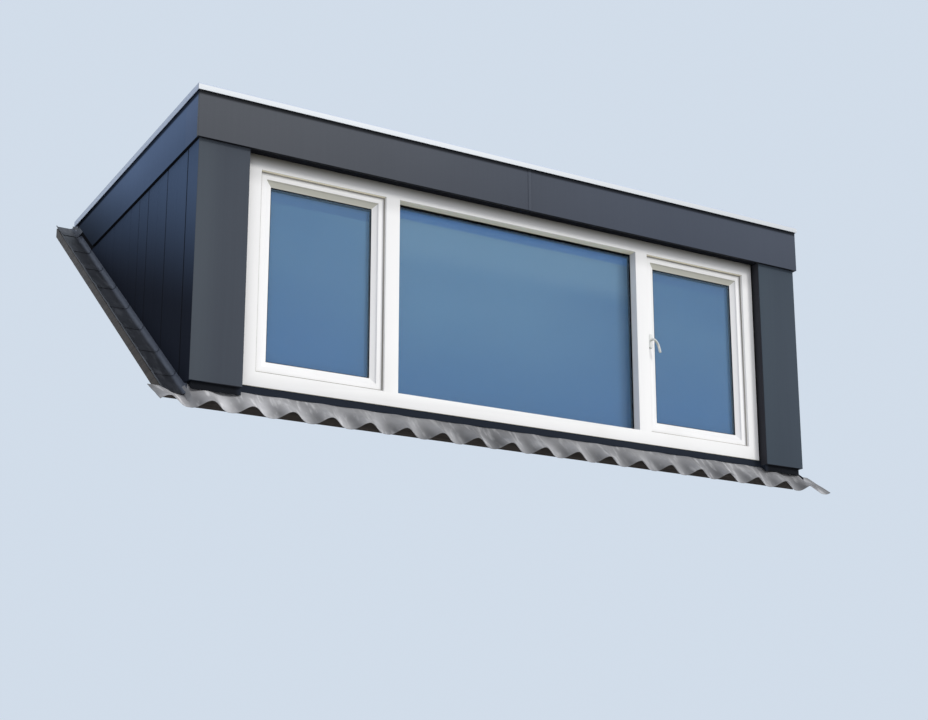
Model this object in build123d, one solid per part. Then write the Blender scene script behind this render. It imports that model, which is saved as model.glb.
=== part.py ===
"""Flat-roofed dormer window with a timber frame, a three-light window and leadwork.

Millimetres. +X runs to the right along the front, +Y into the roof and +Z up.
The setting-out point is the front face of the fascia (y = 0) at the foot of the window frame (z = 0).
Every piece is moved by ORIGIN when it is saved, so that the part's own origin lies on the sloping
underside of the front kerb, in the middle of the dormer, where it sits on the boarded roof.
"""

from build123d import *
import os
from math import cos, pi, radians, sin, sqrt, tan

# The roof it stands on
ROOF_PITCH = 36.0
TILE_FOOT_Y = 139.0
TILE_BUILD_UP = 95.0
TILE_PITCH = 215.5
TILE_CREST_X = 54.0
CREST_SHARPNESS = 1.4

# Main sizes
FASCIA_WIDTH = 4000.0
FRAME_HEIGHT = 1262.0

# Fascia and roof edge
FASCIA_THICK = 20.0
FASCIA_SIDE_THICK = 15.0
FASCIA_DRIP = 6.0
FASCIA_HEIGHT = 287.0
FASCIA_REAR_CUT = 40.0
JOINT_STRIP_WIDTH = 20.0
JOINT_STRIP_THICK = 3.0
BOARD_JOINT = 4.0
SOFFIT_THICK = 12.0
TRIM_PROJECTION = 10.0
TRIM_THICK = 4.0
TRIM_FACE = 36.0
TRIM_TOP = 62.0

# Corner boards and cheeks
CORNER_FACE_SETBACK = 20.0
CORNER_BOARD_WIDTH = 281.0
CORNER_BOARD_THICK = 18.0
CORNER_RETURN = 150.0
CORNER_BOARD_DROP = 29.0
CORNER_BOARD_GAP = 15.0
CLADDING_JOINT = 6.0
CLADDING_BOARD = 310.0
GROOVE_DEPTH = 5.0
MID_GROOVE_DEPTH = 2.0
CHEEK_PANEL_THICK = 77.0
LINING_THICK = 12.5
BASE_STRIP_SETBACK = 18.0

# Window frame
FRAME_SETBACK = 76.0
FRAME_DEPTH = 115.0
JAMB_FACE = 75.0
SILL_FACE = 80.0
HEAD_FACE = 81.0
MULLION_FACE = 84.0
CENTRE_LIGHT_WIDTH = 1592.0
STOP_WIDTH = 15.0
GLAZING_REBATE = 14.0
FIXED_LIP_DEPTH = 59.0
FIXED_GLASS_THICK = 28.0

# Sashes
SASH_RECESS = 20.0
SASH_GAP = 5.0
SASH_FACE = 66.0
SASH_FLAT = 34.0
SASH_STEP = 5.0
SASH_LIP_DEPTH = 22.0
SASH_DEPTH = 60.0
SASH_STOP_CLEARANCE = 0.3
SASH_GLASS_THICK = 24.0
GASKET_THICK = 3.0
GASKET_SHOW = 1.5
GLASS_CLEARANCE = 2.0

# Lever handle on the right-hand sash
HANDLE_HEIGHT = 640.0
HANDLE_PLATE_WIDTH = 26.0
HANDLE_PLATE_LENGTH = 90.0
HANDLE_PLATE_THICK = 9.0
HANDLE_STAND_OFF = 32.0
HANDLE_ELBOW_REACH = 29.0
HANDLE_ELBOW_DROP = 30.0
HANDLE_REACH = 42.0
HANDLE_DROP = 80.0
HANDLE_BAR_WIDTH = 14.0
HANDLE_BAR_THICK = 10.0
HANDLE_BAR_CHAMFER = 3.0

# Timber structure
KERB_THICK = 70.0
REAR_KERB_REACH = 79.0
LINTEL_HEIGHT = 78.0
JOIST_HEIGHT = 120.0
JOIST_WIDTH = 45.0
JOIST_COUNT = 8
DECK_THICK = 18.0
MEMBRANE_THICK = 22.0
MEMBRANE_UPSTAND = 6.0
MEMBRANE_LAP = 94.0
WINDOW_BOARD_DEPTH = 92.0
WINDOW_BOARD_THICK = 22.0

# Leadwork
LEAD_THICK = 3.0
SILL_STRIP_THICK = 14.0
APRON_LENGTH = 172.0
APRON_WAVE = 52.0
APRON_FLATS = 12
APRON_OVERHANG = 150.0
APRON_EAR_RISE = 70.0
TRAY_DEPTH = 47.0
TRAY_WIDTH = 118.0
TRAY_COVE = 26.0
TRAY_WELT = 9.0
LEAD_UPSTAND = 45.0
LEAD_SHEET_LENGTH = 340.0
FIRST_LAP_Y = 254.0
LAP_LENGTH = 40.0
LAP_THICK = 2.0
FLASHING_FOOT_Y = 90.0

# Lines that follow from the sizes above
SIN, COS, TAN = sin(radians(ROOF_PITCH)), cos(radians(ROOF_PITCH)), tan(radians(ROOF_PITCH))
HALF_FASCIA = FASCIA_WIDTH / 2
CHEEK_FACE = HALF_FASCIA - FASCIA_SIDE_THICK
PANEL_FACE = CHEEK_FACE - CORNER_BOARD_THICK
PANEL_INSIDE = PANEL_FACE - CHEEK_PANEL_THICK
LINING_INSIDE = PANEL_INSIDE - LINING_THICK
CORNER_INNER = CHEEK_FACE - CORNER_BOARD_WIDTH
HALF_FRAME = CORNER_INNER - CORNER_BOARD_GAP
FRAME_BACK = FRAME_SETBACK + FRAME_DEPTH
SASH_FRONT = FRAME_SETBACK + SASH_RECESS
STOP_FRONT = SASH_FRONT + SASH_DEPTH + SASH_STOP_CLEARANCE
HEAD_FOOT = FRAME_HEIGHT - HEAD_FACE
HALF_CENTRE = CENTRE_LIGHT_WIDTH / 2
MULLION_OUTER = HALF_CENTRE + MULLION_FACE
KERB_FRONT_Y = FRAME_SETBACK + 21.0
FASCIA_FOOT = FRAME_HEIGHT - FASCIA_DRIP
FASCIA_TOP = FASCIA_FOOT + FASCIA_HEIGHT
LINTEL_TOP = FRAME_HEIGHT + LINTEL_HEIGHT
JOIST_TOP = LINTEL_TOP + JOIST_HEIGHT
DECK_TOP = JOIST_TOP + DECK_THICK
MEMBRANE_TOP = DECK_TOP + MEMBRANE_THICK
KERB_TOP = KERB_THICK - TILE_BUILD_UP
TILES = Plane(origin=(0, TILE_FOOT_Y, 0), x_dir=(1, 0, 0), z_dir=(0, -SIN, COS))


def slope_z(y, height):
    """Height z at depth y of the plane that lies this far above the roof's crests, square to the slope."""
    return TAN * (y - TILE_FOOT_Y) + height / COS


def slope_y(z, height):
    """Depth y at which that plane reaches the height z."""
    return TILE_FOOT_Y + (z - height / COS) / TAN


REAR_Y = slope_y(MEMBRANE_TOP, KERB_TOP + MEMBRANE_UPSTAND) + MEMBRANE_LAP
SEAT_Y = (KERB_FRONT_Y + FRAME_BACK) / 2
ORIGIN = (0, -SEAT_Y, -slope_z(SEAT_Y, -TILE_BUILD_UP))


def block(x, y, z):
    """A box between two limits on each axis."""
    size = (x[1] - x[0], y[1] - y[0], z[1] - z[0])
    middle = ((x[0] + x[1]) / 2, (y[0] + y[1]) / 2, (z[0] + z[1]) / 2)
    return Pos(*middle) * Box(*size)


def side_prism(x, points):
    """An outline in y and z, drawn out along x between two limits."""
    outline = Plane.YZ.offset(x[0]) * make_face(Polyline(*points, close=True))
    return extrude(outline, x[1] - x[0])


def plan_prism(points, z):
    """An outline in x and y, drawn up between two heights."""
    outline = Plane.XY.offset(z[0]) * make_face(Polyline(*points, close=True))
    return extrude(outline, z[1] - z[0])


def slope_band(x, y, height):
    """A board that lies along the roof between two heights above its crests, cut plumb at both ends."""
    corners = [(y[0], slope_z(y[0], height[0])), (y[1], slope_z(y[1], height[0]))]
    corners += [(y[1], slope_z(y[1], height[1])), (y[0], slope_z(y[0], height[1]))]
    return side_prism(x, corners)


def ring(x, z, y, inset):
    """A rectangular frame between two depths, as wide as inset on all four sides."""
    hole = block((x[0] + inset, x[1] - inset), (y[0] - 1, y[1] + 1), (z[0] + inset, z[1] - inset))
    return block(x, y, z) - hole


def grown(limits, amount):
    """The same two limits, moved apart by an amount at each end."""
    return (limits[0] - amount, limits[1] + amount)


def flipped(limits):
    """The same two limits on the other side of the middle."""
    return (-limits[1], -limits[0])


def mirrored(shape):
    """The same piece on the other side of the dormer."""
    return mirror(shape, about=Plane.YZ)


def save(name, *pieces):
    """Writes one node, with its origin moved to the seat on the roof."""
    solids = [solid for piece in pieces for solid in piece.solids()]
    placed = [Pos(*ORIGIN) * solid for solid in solids]
    export_step(placed[0] if len(placed) == 1 else Compound(children=placed), f"parts/{name}.step")


def save_pair(name, left):
    """Writes a left-hand piece and its mirror image."""
    save(f"{name}_left", left)
    save(f"{name}_right", mirrored(left))


# Timber kerbs on the boarded roof
def front_kerb():
    y0, y1 = KERB_FRONT_Y, FRAME_BACK
    feet = [(y0, slope_z(y0, -TILE_BUILD_UP)), (y1, slope_z(y1, -TILE_BUILD_UP))]
    return side_prism((-PANEL_FACE, PANEL_FACE), feet + [(y1, 0), (y0, 0)])


def side_kerb():
    return slope_band((-PANEL_FACE, -PANEL_INSIDE), (FRAME_BACK, REAR_Y), (-TILE_BUILD_UP, KERB_TOP))


def rear_kerb():
    """The boarded kerb that carries the ceiling's rear edge and the covering's lap."""
    start = slope_y(LINTEL_TOP - LINING_THICK, KERB_TOP) - REAR_KERB_REACH
    return slope_band((-LINING_INSIDE, LINING_INSIDE), (start, REAR_Y), (-TILE_BUILD_UP, KERB_TOP))


# Cheeks
def cheek_outline(front, top, height):
    """The triangle of a cheek between a plumb front edge, a level top and the slope of the roof."""
    return [(front, slope_z(front, height)), (front, top), (slope_y(top, height), top)]


def cheek_panel():
    return side_prism((-PANEL_FACE, -PANEL_INSIDE), cheek_outline(FRAME_BACK, LINTEL_TOP, KERB_TOP))


def cheek_lining():
    top = LINTEL_TOP - LINING_THICK
    return side_prism((-PANEL_INSIDE, -LINING_INSIDE), cheek_outline(FRAME_BACK, top, -TILE_BUILD_UP))


def lead_rebate():
    """The space behind the foot of the cladding that the lead upstand fills."""
    depth = (FLASHING_FOOT_Y - 100, REAR_Y)
    return slope_band((-PANEL_FACE - LEAD_THICK, -PANEL_FACE + 1), depth, (-TILE_BUILD_UP, LEAD_UPSTAND))


def cheek_cladding():
    """Broad upright boards with a V joint between them and a finer V down the middle of each."""
    front = CORNER_FACE_SETBACK + CORNER_RETURN + CLADDING_JOINT
    cladding = side_prism((-CHEEK_FACE, -PANEL_FACE), cheek_outline(front, JOIST_TOP, 0))
    half_board = CLADDING_BOARD / 2
    for i in range(1, int((slope_y(JOIST_TOP, 0) - front) / half_board)):
        side = sqrt(2) * (MID_GROOVE_DEPTH if i % 2 else GROOVE_DEPTH)
        cutter = Rot(Z=45) * Box(side, side, 2 * JOIST_TOP)
        cladding -= Pos(-CHEEK_FACE, front + half_board * i, 0) * cutter
    return cladding - lead_rebate()


# Corner piers and their boards
def corner_pier():
    front = CORNER_FACE_SETBACK + CORNER_BOARD_THICK
    inner = CORNER_INNER + CORNER_BOARD_THICK
    points = [(-PANEL_FACE, front), (-inner, front), (-inner, KERB_FRONT_Y), (-HALF_FRAME, KERB_FRONT_Y)]
    points += [(-HALF_FRAME, FRAME_BACK), (-PANEL_FACE, FRAME_BACK)]
    return plan_prism(points, (0, FRAME_HEIGHT))


def corner_board():
    front, thick = CORNER_FACE_SETBACK, CORNER_BOARD_THICK
    points = [(-CHEEK_FACE, front + CORNER_RETURN), (-CHEEK_FACE, front), (-CORNER_INNER, front)]
    back = KERB_FRONT_Y - LEAD_THICK
    points += [(-CORNER_INNER, back), (-CORNER_INNER - thick, back)]
    points += [(-CORNER_INNER - thick, front + thick), (-PANEL_FACE, front + thick)]
    points += [(-PANEL_FACE, front + CORNER_RETURN)]
    board = plan_prism(points, (-CORNER_BOARD_DROP, FRAME_HEIGHT))
    below = slope_band((-CHEEK_FACE - 1, -PANEL_FACE + 1), (0, REAR_Y), (-FRAME_HEIGHT, LEAD_THICK))
    return board - below - lead_rebate()


def base_strip():
    """The dark strip under the window, with a deeper block under each corner pier."""
    back = KERB_FRONT_Y - LEAD_THICK
    strip_front = back - SILL_STRIP_THICK
    block_front = CORNER_FACE_SETBACK + BASE_STRIP_SETBACK
    foot = -TILE_BUILD_UP
    strip = block((-CORNER_INNER, CORNER_INNER), (strip_front, back), (foot, 0))
    strip += block((-PANEL_FACE, -CORNER_INNER), (block_front, back), (foot, -CORNER_BOARD_DROP))
    strip += block((CORNER_INNER, PANEL_FACE), (block_front, back), (foot, -CORNER_BOARD_DROP))
    under = slope_band((-HALF_FASCIA, HALF_FASCIA), (0, FRAME_BACK), (-FRAME_HEIGHT, LEAD_THICK))
    return strip - under


# Window frame
SASH_BAY = (-HALF_FRAME + JAMB_FACE, -MULLION_OUTER)
CENTRE_BAY = (-HALF_CENTRE, HALF_CENTRE)
BAY_HEIGHT = (SILL_FACE, HEAD_FOOT)
FIXED_GLASS_FRONT = FRAME_SETBACK + FIXED_LIP_DEPTH + GASKET_THICK


def cross_rail(z, inner, stop, rebate):
    """The head or the sill: a full-width bar, with sash stops at the ends and a glazing rebate between."""
    bar = block((-HALF_FRAME, HALF_FRAME), (FRAME_SETBACK, FRAME_BACK), z)
    for bay in (SASH_BAY, flipped(SASH_BAY)):
        bar += block(bay, (STOP_FRONT, FRAME_BACK), (min(inner, stop), max(inner, stop)))
    rebate_y = (FRAME_SETBACK + FIXED_LIP_DEPTH, FRAME_BACK + 1)
    return bar - block(grown(CENTRE_BAY, GLAZING_REBATE), rebate_y, (min(inner, rebate), max(inner, rebate)))


def frame_jamb():
    bar = block((-HALF_FRAME, SASH_BAY[0]), (FRAME_SETBACK, FRAME_BACK), BAY_HEIGHT)
    stop_x = (SASH_BAY[0], SASH_BAY[0] + STOP_WIDTH)
    return bar + block(stop_x, (STOP_FRONT, FRAME_BACK), grown(BAY_HEIGHT, -STOP_WIDTH))


def mullion():
    bar = block((-MULLION_OUTER, -HALF_CENTRE), (FRAME_SETBACK, FRAME_BACK), BAY_HEIGHT)
    stop_x = (-MULLION_OUTER - STOP_WIDTH, -MULLION_OUTER)
    bar += block(stop_x, (STOP_FRONT, FRAME_BACK), grown(BAY_HEIGHT, -STOP_WIDTH))
    rebate_y = (FRAME_SETBACK + FIXED_LIP_DEPTH, FRAME_BACK + 1)
    rebate_x = (-HALF_CENTRE - GLAZING_REBATE, -HALF_CENTRE + 1)
    return bar - block(rebate_x, rebate_y, grown(BAY_HEIGHT, 1))


# Sashes, glass, gaskets and beads
SASH_X = grown(SASH_BAY, -SASH_GAP)
SASH_Z = grown(BAY_HEIGHT, -SASH_GAP)
SASH_REBATE = SASH_FACE - GLAZING_REBATE
SASH_GLASS_FRONT = SASH_FRONT + SASH_LIP_DEPTH + GASKET_THICK


def face_rectangle(inset, y):
    """A rectangle at depth y, this far inside the outline of the left-hand sash."""
    x, z = grown(SASH_X, -inset), grown(SASH_Z, -inset)
    corners = [(x[0], y, z[0]), (x[1], y, z[0]), (x[1], y, z[1]), (x[0], y, z[1])]
    return make_face(Polyline(*corners, close=True))


def sash():
    body = ring(SASH_X, SASH_Z, (SASH_FRONT, SASH_FRONT + SASH_DEPTH), SASH_FACE)
    step_x, step_z = grown(SASH_X, -SASH_FLAT), grown(SASH_Z, -SASH_FLAT)
    body -= block(step_x, (SASH_FRONT - 1, SASH_FRONT + SASH_STEP), step_z)
    bevel = [face_rectangle(SASH_FLAT, SASH_FRONT + SASH_STEP), face_rectangle(SASH_FACE, SASH_FRONT + SASH_LIP_DEPTH)]
    body -= loft(bevel, ruled=True)
    rebate_y = (SASH_FRONT + SASH_LIP_DEPTH, SASH_FRONT + SASH_DEPTH + 1)
    return body - block(grown(SASH_X, -SASH_REBATE), rebate_y, grown(SASH_Z, -SASH_REBATE))


def sash_glass():
    inset = SASH_REBATE + GLASS_CLEARANCE
    depth = (SASH_GLASS_FRONT, SASH_GLASS_FRONT + SASH_GLASS_THICK)
    return block(grown(SASH_X, -inset), depth, grown(SASH_Z, -inset))


def centre_glass():
    margin = GLAZING_REBATE - GLASS_CLEARANCE
    depth = (FIXED_GLASS_FRONT, FIXED_GLASS_FRONT + FIXED_GLASS_THICK)
    return block(grown(CENTRE_BAY, margin), depth, grown(BAY_HEIGHT, margin))


def sash_ring(y, show):
    """A ring in the sash's glazing rebate that covers the edge of its glass."""
    return ring(grown(SASH_X, -SASH_REBATE), grown(SASH_Z, -SASH_REBATE), y, GLAZING_REBATE + show)


def centre_ring(y, show):
    """The same ring in the rebate of the fixed centre light."""
    outer_x, outer_z = grown(CENTRE_BAY, GLAZING_REBATE), grown(BAY_HEIGHT, GLAZING_REBATE)
    return ring(outer_x, outer_z, y, GLAZING_REBATE + show)


def gaskets():
    side = sash_ring((SASH_GLASS_FRONT - GASKET_THICK, SASH_GLASS_FRONT), GASKET_SHOW)
    middle = centre_ring((FIXED_GLASS_FRONT - GASKET_THICK, FIXED_GLASS_FRONT), GASKET_SHOW)
    return [side, mirrored(side), middle]


def beads():
    side = sash_ring((SASH_GLASS_FRONT + SASH_GLASS_THICK, SASH_FRONT + SASH_DEPTH), 0)
    middle = centre_ring((FIXED_GLASS_FRONT + FIXED_GLASS_THICK, FRAME_BACK), 0)
    return [side, mirrored(side), middle]


# Lever handle, on the right-hand sash's left stile
HANDLE_X = -SASH_X[1] + SASH_FLAT / 2
HANDLE_PLATE_FRONT = SASH_FRONT - HANDLE_PLATE_THICK


def handle_plate():
    outline = Plane.XZ.offset(-SASH_FRONT) * Pos(HANDLE_X, HANDLE_HEIGHT) * SlotOverall(
        HANDLE_PLATE_LENGTH, HANDLE_PLATE_WIDTH, rotation=90
    )
    plate = extrude(outline, HANDLE_PLATE_THICK)
    return chamfer(plate.faces().sort_by(Axis.Y)[0].edges(), HANDLE_PLATE_THICK / 4)


def bend_radius(before, corner, after):
    """The radius of an arc that takes nearly half of the shorter run at a corner of a path."""
    arriving, leaving = Vector(corner) - Vector(before), Vector(after) - Vector(corner)
    turn = radians(arriving.get_angle(leaving))
    return 0.45 * min(arriving.length, leaving.length) / tan(turn / 2)


def handle_lever():
    """A flat bar that comes out of the plate and sweeps to the right and down to its grip."""
    out = HANDLE_PLATE_FRONT - HANDLE_STAND_OFF
    z = HANDLE_HEIGHT + HANDLE_PLATE_WIDTH / 4
    points = [(HANDLE_X, HANDLE_PLATE_FRONT, z), (HANDLE_X, out, z)]
    points += [(HANDLE_X + HANDLE_ELBOW_REACH, out, z - HANDLE_ELBOW_DROP)]
    points += [(HANDLE_X + HANDLE_REACH, out, z - HANDLE_DROP)]
    path = FilletPolyline(*points, radius=[bend_radius(*points[:3]), bend_radius(*points[1:])])
    section = Rectangle(HANDLE_BAR_THICK, HANDLE_BAR_WIDTH)
    section = chamfer(section.vertices(), HANDLE_BAR_CHAMFER)
    start = Plane(origin=points[0], x_dir=(1, 0, 0), z_dir=(0, -1, 0))
    return sweep(start * section, path=path)


# Roof over the window
def lintel():
    return block((-PANEL_FACE, PANEL_FACE), (KERB_FRONT_Y, FRAME_BACK), (FRAME_HEIGHT, LINTEL_TOP))


def joist(x):
    points = [(FASCIA_THICK, LINTEL_TOP), (slope_y(LINTEL_TOP, KERB_TOP), LINTEL_TOP)]
    points += [(slope_y(JOIST_TOP, KERB_TOP), JOIST_TOP), (FASCIA_THICK, JOIST_TOP)]
    return side_prism((x - JOIST_WIDTH / 2, x + JOIST_WIDTH / 2), points)


def joists():
    outer = PANEL_FACE - JOIST_WIDTH / 2
    spacing = 2 * outer / (JOIST_COUNT - 1)
    return [joist(-outer + spacing * i) for i in range(JOIST_COUNT)]


def roof_deck():
    points = [(FASCIA_THICK, JOIST_TOP), (slope_y(JOIST_TOP, KERB_TOP), JOIST_TOP)]
    points += [(slope_y(DECK_TOP, KERB_TOP), DECK_TOP), (FASCIA_THICK, DECK_TOP)]
    return side_prism((-CHEEK_FACE, CHEEK_FACE), points)


def roof_membrane():
    """The flat covering, turned up at the three edges and lapped up the slope at the back."""
    lap = KERB_TOP + MEMBRANE_UPSTAND
    sheet = [(FASCIA_THICK, DECK_TOP), (slope_y(DECK_TOP, KERB_TOP), DECK_TOP)]
    sheet += [(REAR_Y, slope_z(REAR_Y, KERB_TOP)), (REAR_Y, slope_z(REAR_Y, lap))]
    sheet += [(slope_y(MEMBRANE_TOP, lap), MEMBRANE_TOP), (FASCIA_THICK, MEMBRANE_TOP)]
    cover = side_prism((-CHEEK_FACE, CHEEK_FACE), sheet)
    rise = (MEMBRANE_TOP, FASCIA_TOP)
    cover += block((-CHEEK_FACE, CHEEK_FACE), (FASCIA_THICK, FASCIA_THICK + MEMBRANE_UPSTAND), rise)
    side = side_prism((-CHEEK_FACE, -CHEEK_FACE + MEMBRANE_UPSTAND), fascia_side_outline(MEMBRANE_TOP))
    return cover + side + mirrored(side)


def ceiling():
    rise = (LINTEL_TOP - LINING_THICK, LINTEL_TOP)
    points = [(FRAME_BACK, rise[0]), (slope_y(rise[0], KERB_TOP), rise[0])]
    points += [(slope_y(rise[1], KERB_TOP), rise[1]), (FRAME_BACK, rise[1])]
    return side_prism((-PANEL_INSIDE, PANEL_INSIDE), points)


def window_board():
    depth = (FRAME_BACK, FRAME_BACK + WINDOW_BOARD_DEPTH)
    return block((-LINING_INSIDE, LINING_INSIDE), depth, (0, WINDOW_BOARD_THICK))


# Fascia, soffit and edge trims
def fascia_side_outline(foot):
    """The side fascia's outline from a given foot, cut to the slope at its rear end."""
    rear = slope_y(foot, FASCIA_REAR_CUT)
    top_rear = slope_y(FASCIA_TOP, FASCIA_REAR_CUT)
    return [(FASCIA_THICK, foot), (rear, foot), (top_rear, FASCIA_TOP), (FASCIA_THICK, FASCIA_TOP)]


def fascia_front_left():
    """The left board, with the strip that covers the joint in the middle."""
    board = block((-HALF_FASCIA, -BOARD_JOINT / 2), (0, FASCIA_THICK), (FASCIA_FOOT, FASCIA_TOP))
    strip_x = (-JOINT_STRIP_WIDTH / 2, JOINT_STRIP_WIDTH / 2)
    return board + block(strip_x, (-JOINT_STRIP_THICK, 0), (FASCIA_FOOT, trim_foot()))


def fascia_front_right():
    return block((BOARD_JOINT / 2, HALF_FASCIA), (0, FASCIA_THICK), (FASCIA_FOOT, FASCIA_TOP))


def fascia_side():
    return side_prism((-HALF_FASCIA, -CHEEK_FACE), fascia_side_outline(FASCIA_FOOT))


def soffit():
    return block((-CHEEK_FACE, CHEEK_FACE), (FASCIA_THICK, KERB_FRONT_Y), (FRAME_HEIGHT, FRAME_HEIGHT + SOFFIT_THICK))


def trim_foot():
    return FASCIA_TOP + TRIM_THICK - TRIM_FACE


def trim_outline():
    """The trim's section: u runs inwards from the fascia's face, v up from the fascia's top."""
    face, inner = -TRIM_PROJECTION, -TRIM_PROJECTION + TRIM_THICK
    return [
        (face, TRIM_THICK),
        (TRIM_TOP, TRIM_THICK),
        (TRIM_TOP, 0),
        (inner, 0),
        (inner, TRIM_THICK - TRIM_FACE),
        (face, TRIM_THICK - TRIM_FACE),
    ]


def front_trim():
    reach = HALF_FASCIA + TRIM_PROJECTION
    return side_prism((-reach, reach), [(u, FASCIA_TOP + v) for u, v in trim_outline()])


def side_trim():
    """The left-hand trim, from the back of the front trim to the slope, with its face carried to the corner."""
    end = slope_y(FASCIA_TOP, FASCIA_REAR_CUT)
    points = [(-HALF_FASCIA + u, FASCIA_TOP + v) for u, v in trim_outline()]
    outline = Plane.XZ.offset(-TRIM_TOP) * make_face(Polyline(*points, close=True))
    trim = extrude(outline, -(end - TRIM_TOP))
    face_x = (-HALF_FASCIA - TRIM_PROJECTION, -HALF_FASCIA - TRIM_PROJECTION + TRIM_THICK)
    return trim + block(face_x, (0, TRIM_TOP), (trim_foot(), FASCIA_TOP))


# Leadwork
def slope_s(y):
    """Distance up the slope, on the roof's crests, at depth y."""
    return (y - TILE_FOOT_Y) / COS


def slope_point(s, height):
    """The y and z of a point from its distance up the slope and its height square to the roof."""
    return (TILE_FOOT_Y + s * COS - height * SIN, s * SIN + height * COS)


def wave_height(x):
    """How far the roof's waves dip below their crests at x."""
    crest = (1 + cos(2 * pi * (x - TILE_CREST_X) / TILE_PITCH)) / 2
    return -APRON_WAVE * (1 - crest**CREST_SHARPNESS)


def wave_span(x):
    """Places along x where the sheet is dressed from one flat to the next."""
    steps = max(2, round((x[1] - x[0]) / TILE_PITCH * APRON_FLATS))
    return [x[0] + (x[1] - x[0]) * i / steps for i in range(steps + 1)]


def strip_face(x, s, heights):
    """A thin cross-section of the sheet, square to the roof, at the distance s up the slope."""
    span = wave_span(x)
    low = [TILES.from_local_coords((px, s, heights(px))) for px in span]
    high = [TILES.from_local_coords((px, s, heights(px) + LEAD_THICK)) for px in span]
    return make_face(Polyline(*low, *high[::-1], close=True))


APRON_FOLD = slope_s(KERB_FRONT_Y) - LEAD_THICK * TAN
APRON_EDGE = slope_s(KERB_FRONT_Y - LEAD_THICK - SILL_STRIP_THICK) - APRON_LENGTH
EAR_TOP = APRON_EDGE + APRON_LENGTH + APRON_EAR_RISE


def ear(x):
    """The apron's end beside the dormer: from the level of the side tray down into the roof's waves."""
    top = strip_face(x, EAR_TOP, lambda px: -TRAY_DEPTH - LEAD_THICK)
    return loft([top, strip_face(x, APRON_EDGE, wave_height)], ruled=True)


def ear_corner(x, inner):
    """The small upright web that joins the apron to its lower end at the dormer's corner."""
    edge_height = wave_height(x)
    fall = (-TRAY_DEPTH - LEAD_THICK - edge_height) / (EAR_TOP - APRON_EDGE)
    plumb = KERB_FRONT_Y - LEAD_THICK
    ear_s = (plumb - TILE_FOOT_Y + (edge_height - APRON_EDGE * fall) * SIN) / (COS - fall * SIN)
    points = [slope_point(APRON_EDGE, edge_height), (plumb, slope_z(plumb, LEAD_THICK))]
    points.append(slope_point(ear_s, edge_height + (ear_s - APRON_EDGE) * fall))
    return side_prism(sorted((x, inner)), points)


def apron():
    """The lead apron: straight at its fold under the window, dressed into the roof's waves at its edge."""
    reach = HALF_FASCIA + APRON_OVERHANG
    middle = (-PANEL_FACE, PANEL_FACE)
    folded, waved = strip_face(middle, APRON_FOLD, lambda px: 0.0), strip_face(middle, APRON_EDGE, wave_height)
    sheet = loft([folded, waved], ruled=True)
    sheet += ear((-reach, -PANEL_FACE))
    sheet += ear((PANEL_FACE, reach))
    sheet += ear_corner(-PANEL_FACE, -PANEL_FACE + LEAD_THICK)
    sheet += ear_corner(PANEL_FACE, PANEL_FACE - LEAD_THICK)
    upstand_z = (slope_z(KERB_FRONT_Y, 0), -SILL_STRIP_THICK / 2)
    return sheet + block(middle, (KERB_FRONT_Y - LEAD_THICK, KERB_FRONT_Y), upstand_z)


def tray_section():
    """The section of the side tray: an upstand, a cove, the tray and a welt at its outer edge."""
    x, n = LEAD_THICK / 2, -TRAY_DEPTH + LEAD_THICK / 2
    outer = x + TRAY_WIDTH
    corners = [(x, LEAD_UPSTAND), (x, n), (outer, n), (outer, n + TRAY_WELT)]
    return trace(FilletPolyline(*corners, radius=[TRAY_COVE, TRAY_WELT / 3]), LEAD_THICK)


def lap_section():
    """The section of a lap: the next length's edge, lying on the tray from under the cladding to the welt."""
    shift = LEAD_THICK / 2 + LAP_THICK / 2
    x, n = shift, -TRAY_DEPTH + shift
    corners = [(x, -LAP_THICK), (x, n), (TRAY_WIDTH - LEAD_THICK, n)]
    return trace(FilletPolyline(*corners, radius=[TRAY_COVE - shift + LEAD_THICK / 2]), LEAD_THICK)


def tray_length(section, start, end):
    """A section of the right-hand tray drawn up the slope between two distances."""
    origin = TILES.from_local_coords((PANEL_FACE, start, 0))
    placed = Plane(origin=origin, x_dir=(1, 0, 0), z_dir=(0, -COS, -SIN)) * section
    return extrude(placed, -(end - start))


def side_flashing():
    """The right-hand side flashing, in lapped lengths that follow the slope of the roof."""
    foot, head = slope_s(FLASHING_FOOT_Y) - TRAY_DEPTH * TAN, slope_s(REAR_Y)
    flashing = tray_length(tray_section(), foot, head)
    joint = slope_s(FIRST_LAP_Y)
    while joint < head - LAP_LENGTH:
        flashing += tray_length(lap_section(), joint, joint + LAP_LENGTH)
        joint += LEAD_SHEET_LENGTH
    roof = [(slope_y(JOIST_TOP, KERB_TOP), JOIST_TOP), (REAR_Y, slope_z(REAR_Y, KERB_TOP))]
    roof += [(REAR_Y, 2 * FASCIA_TOP), (0, 2 * FASCIA_TOP), (0, JOIST_TOP)]
    flashing -= side_prism((0, CHEEK_FACE), roof)
    return flashing - foot_cutter()


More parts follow.
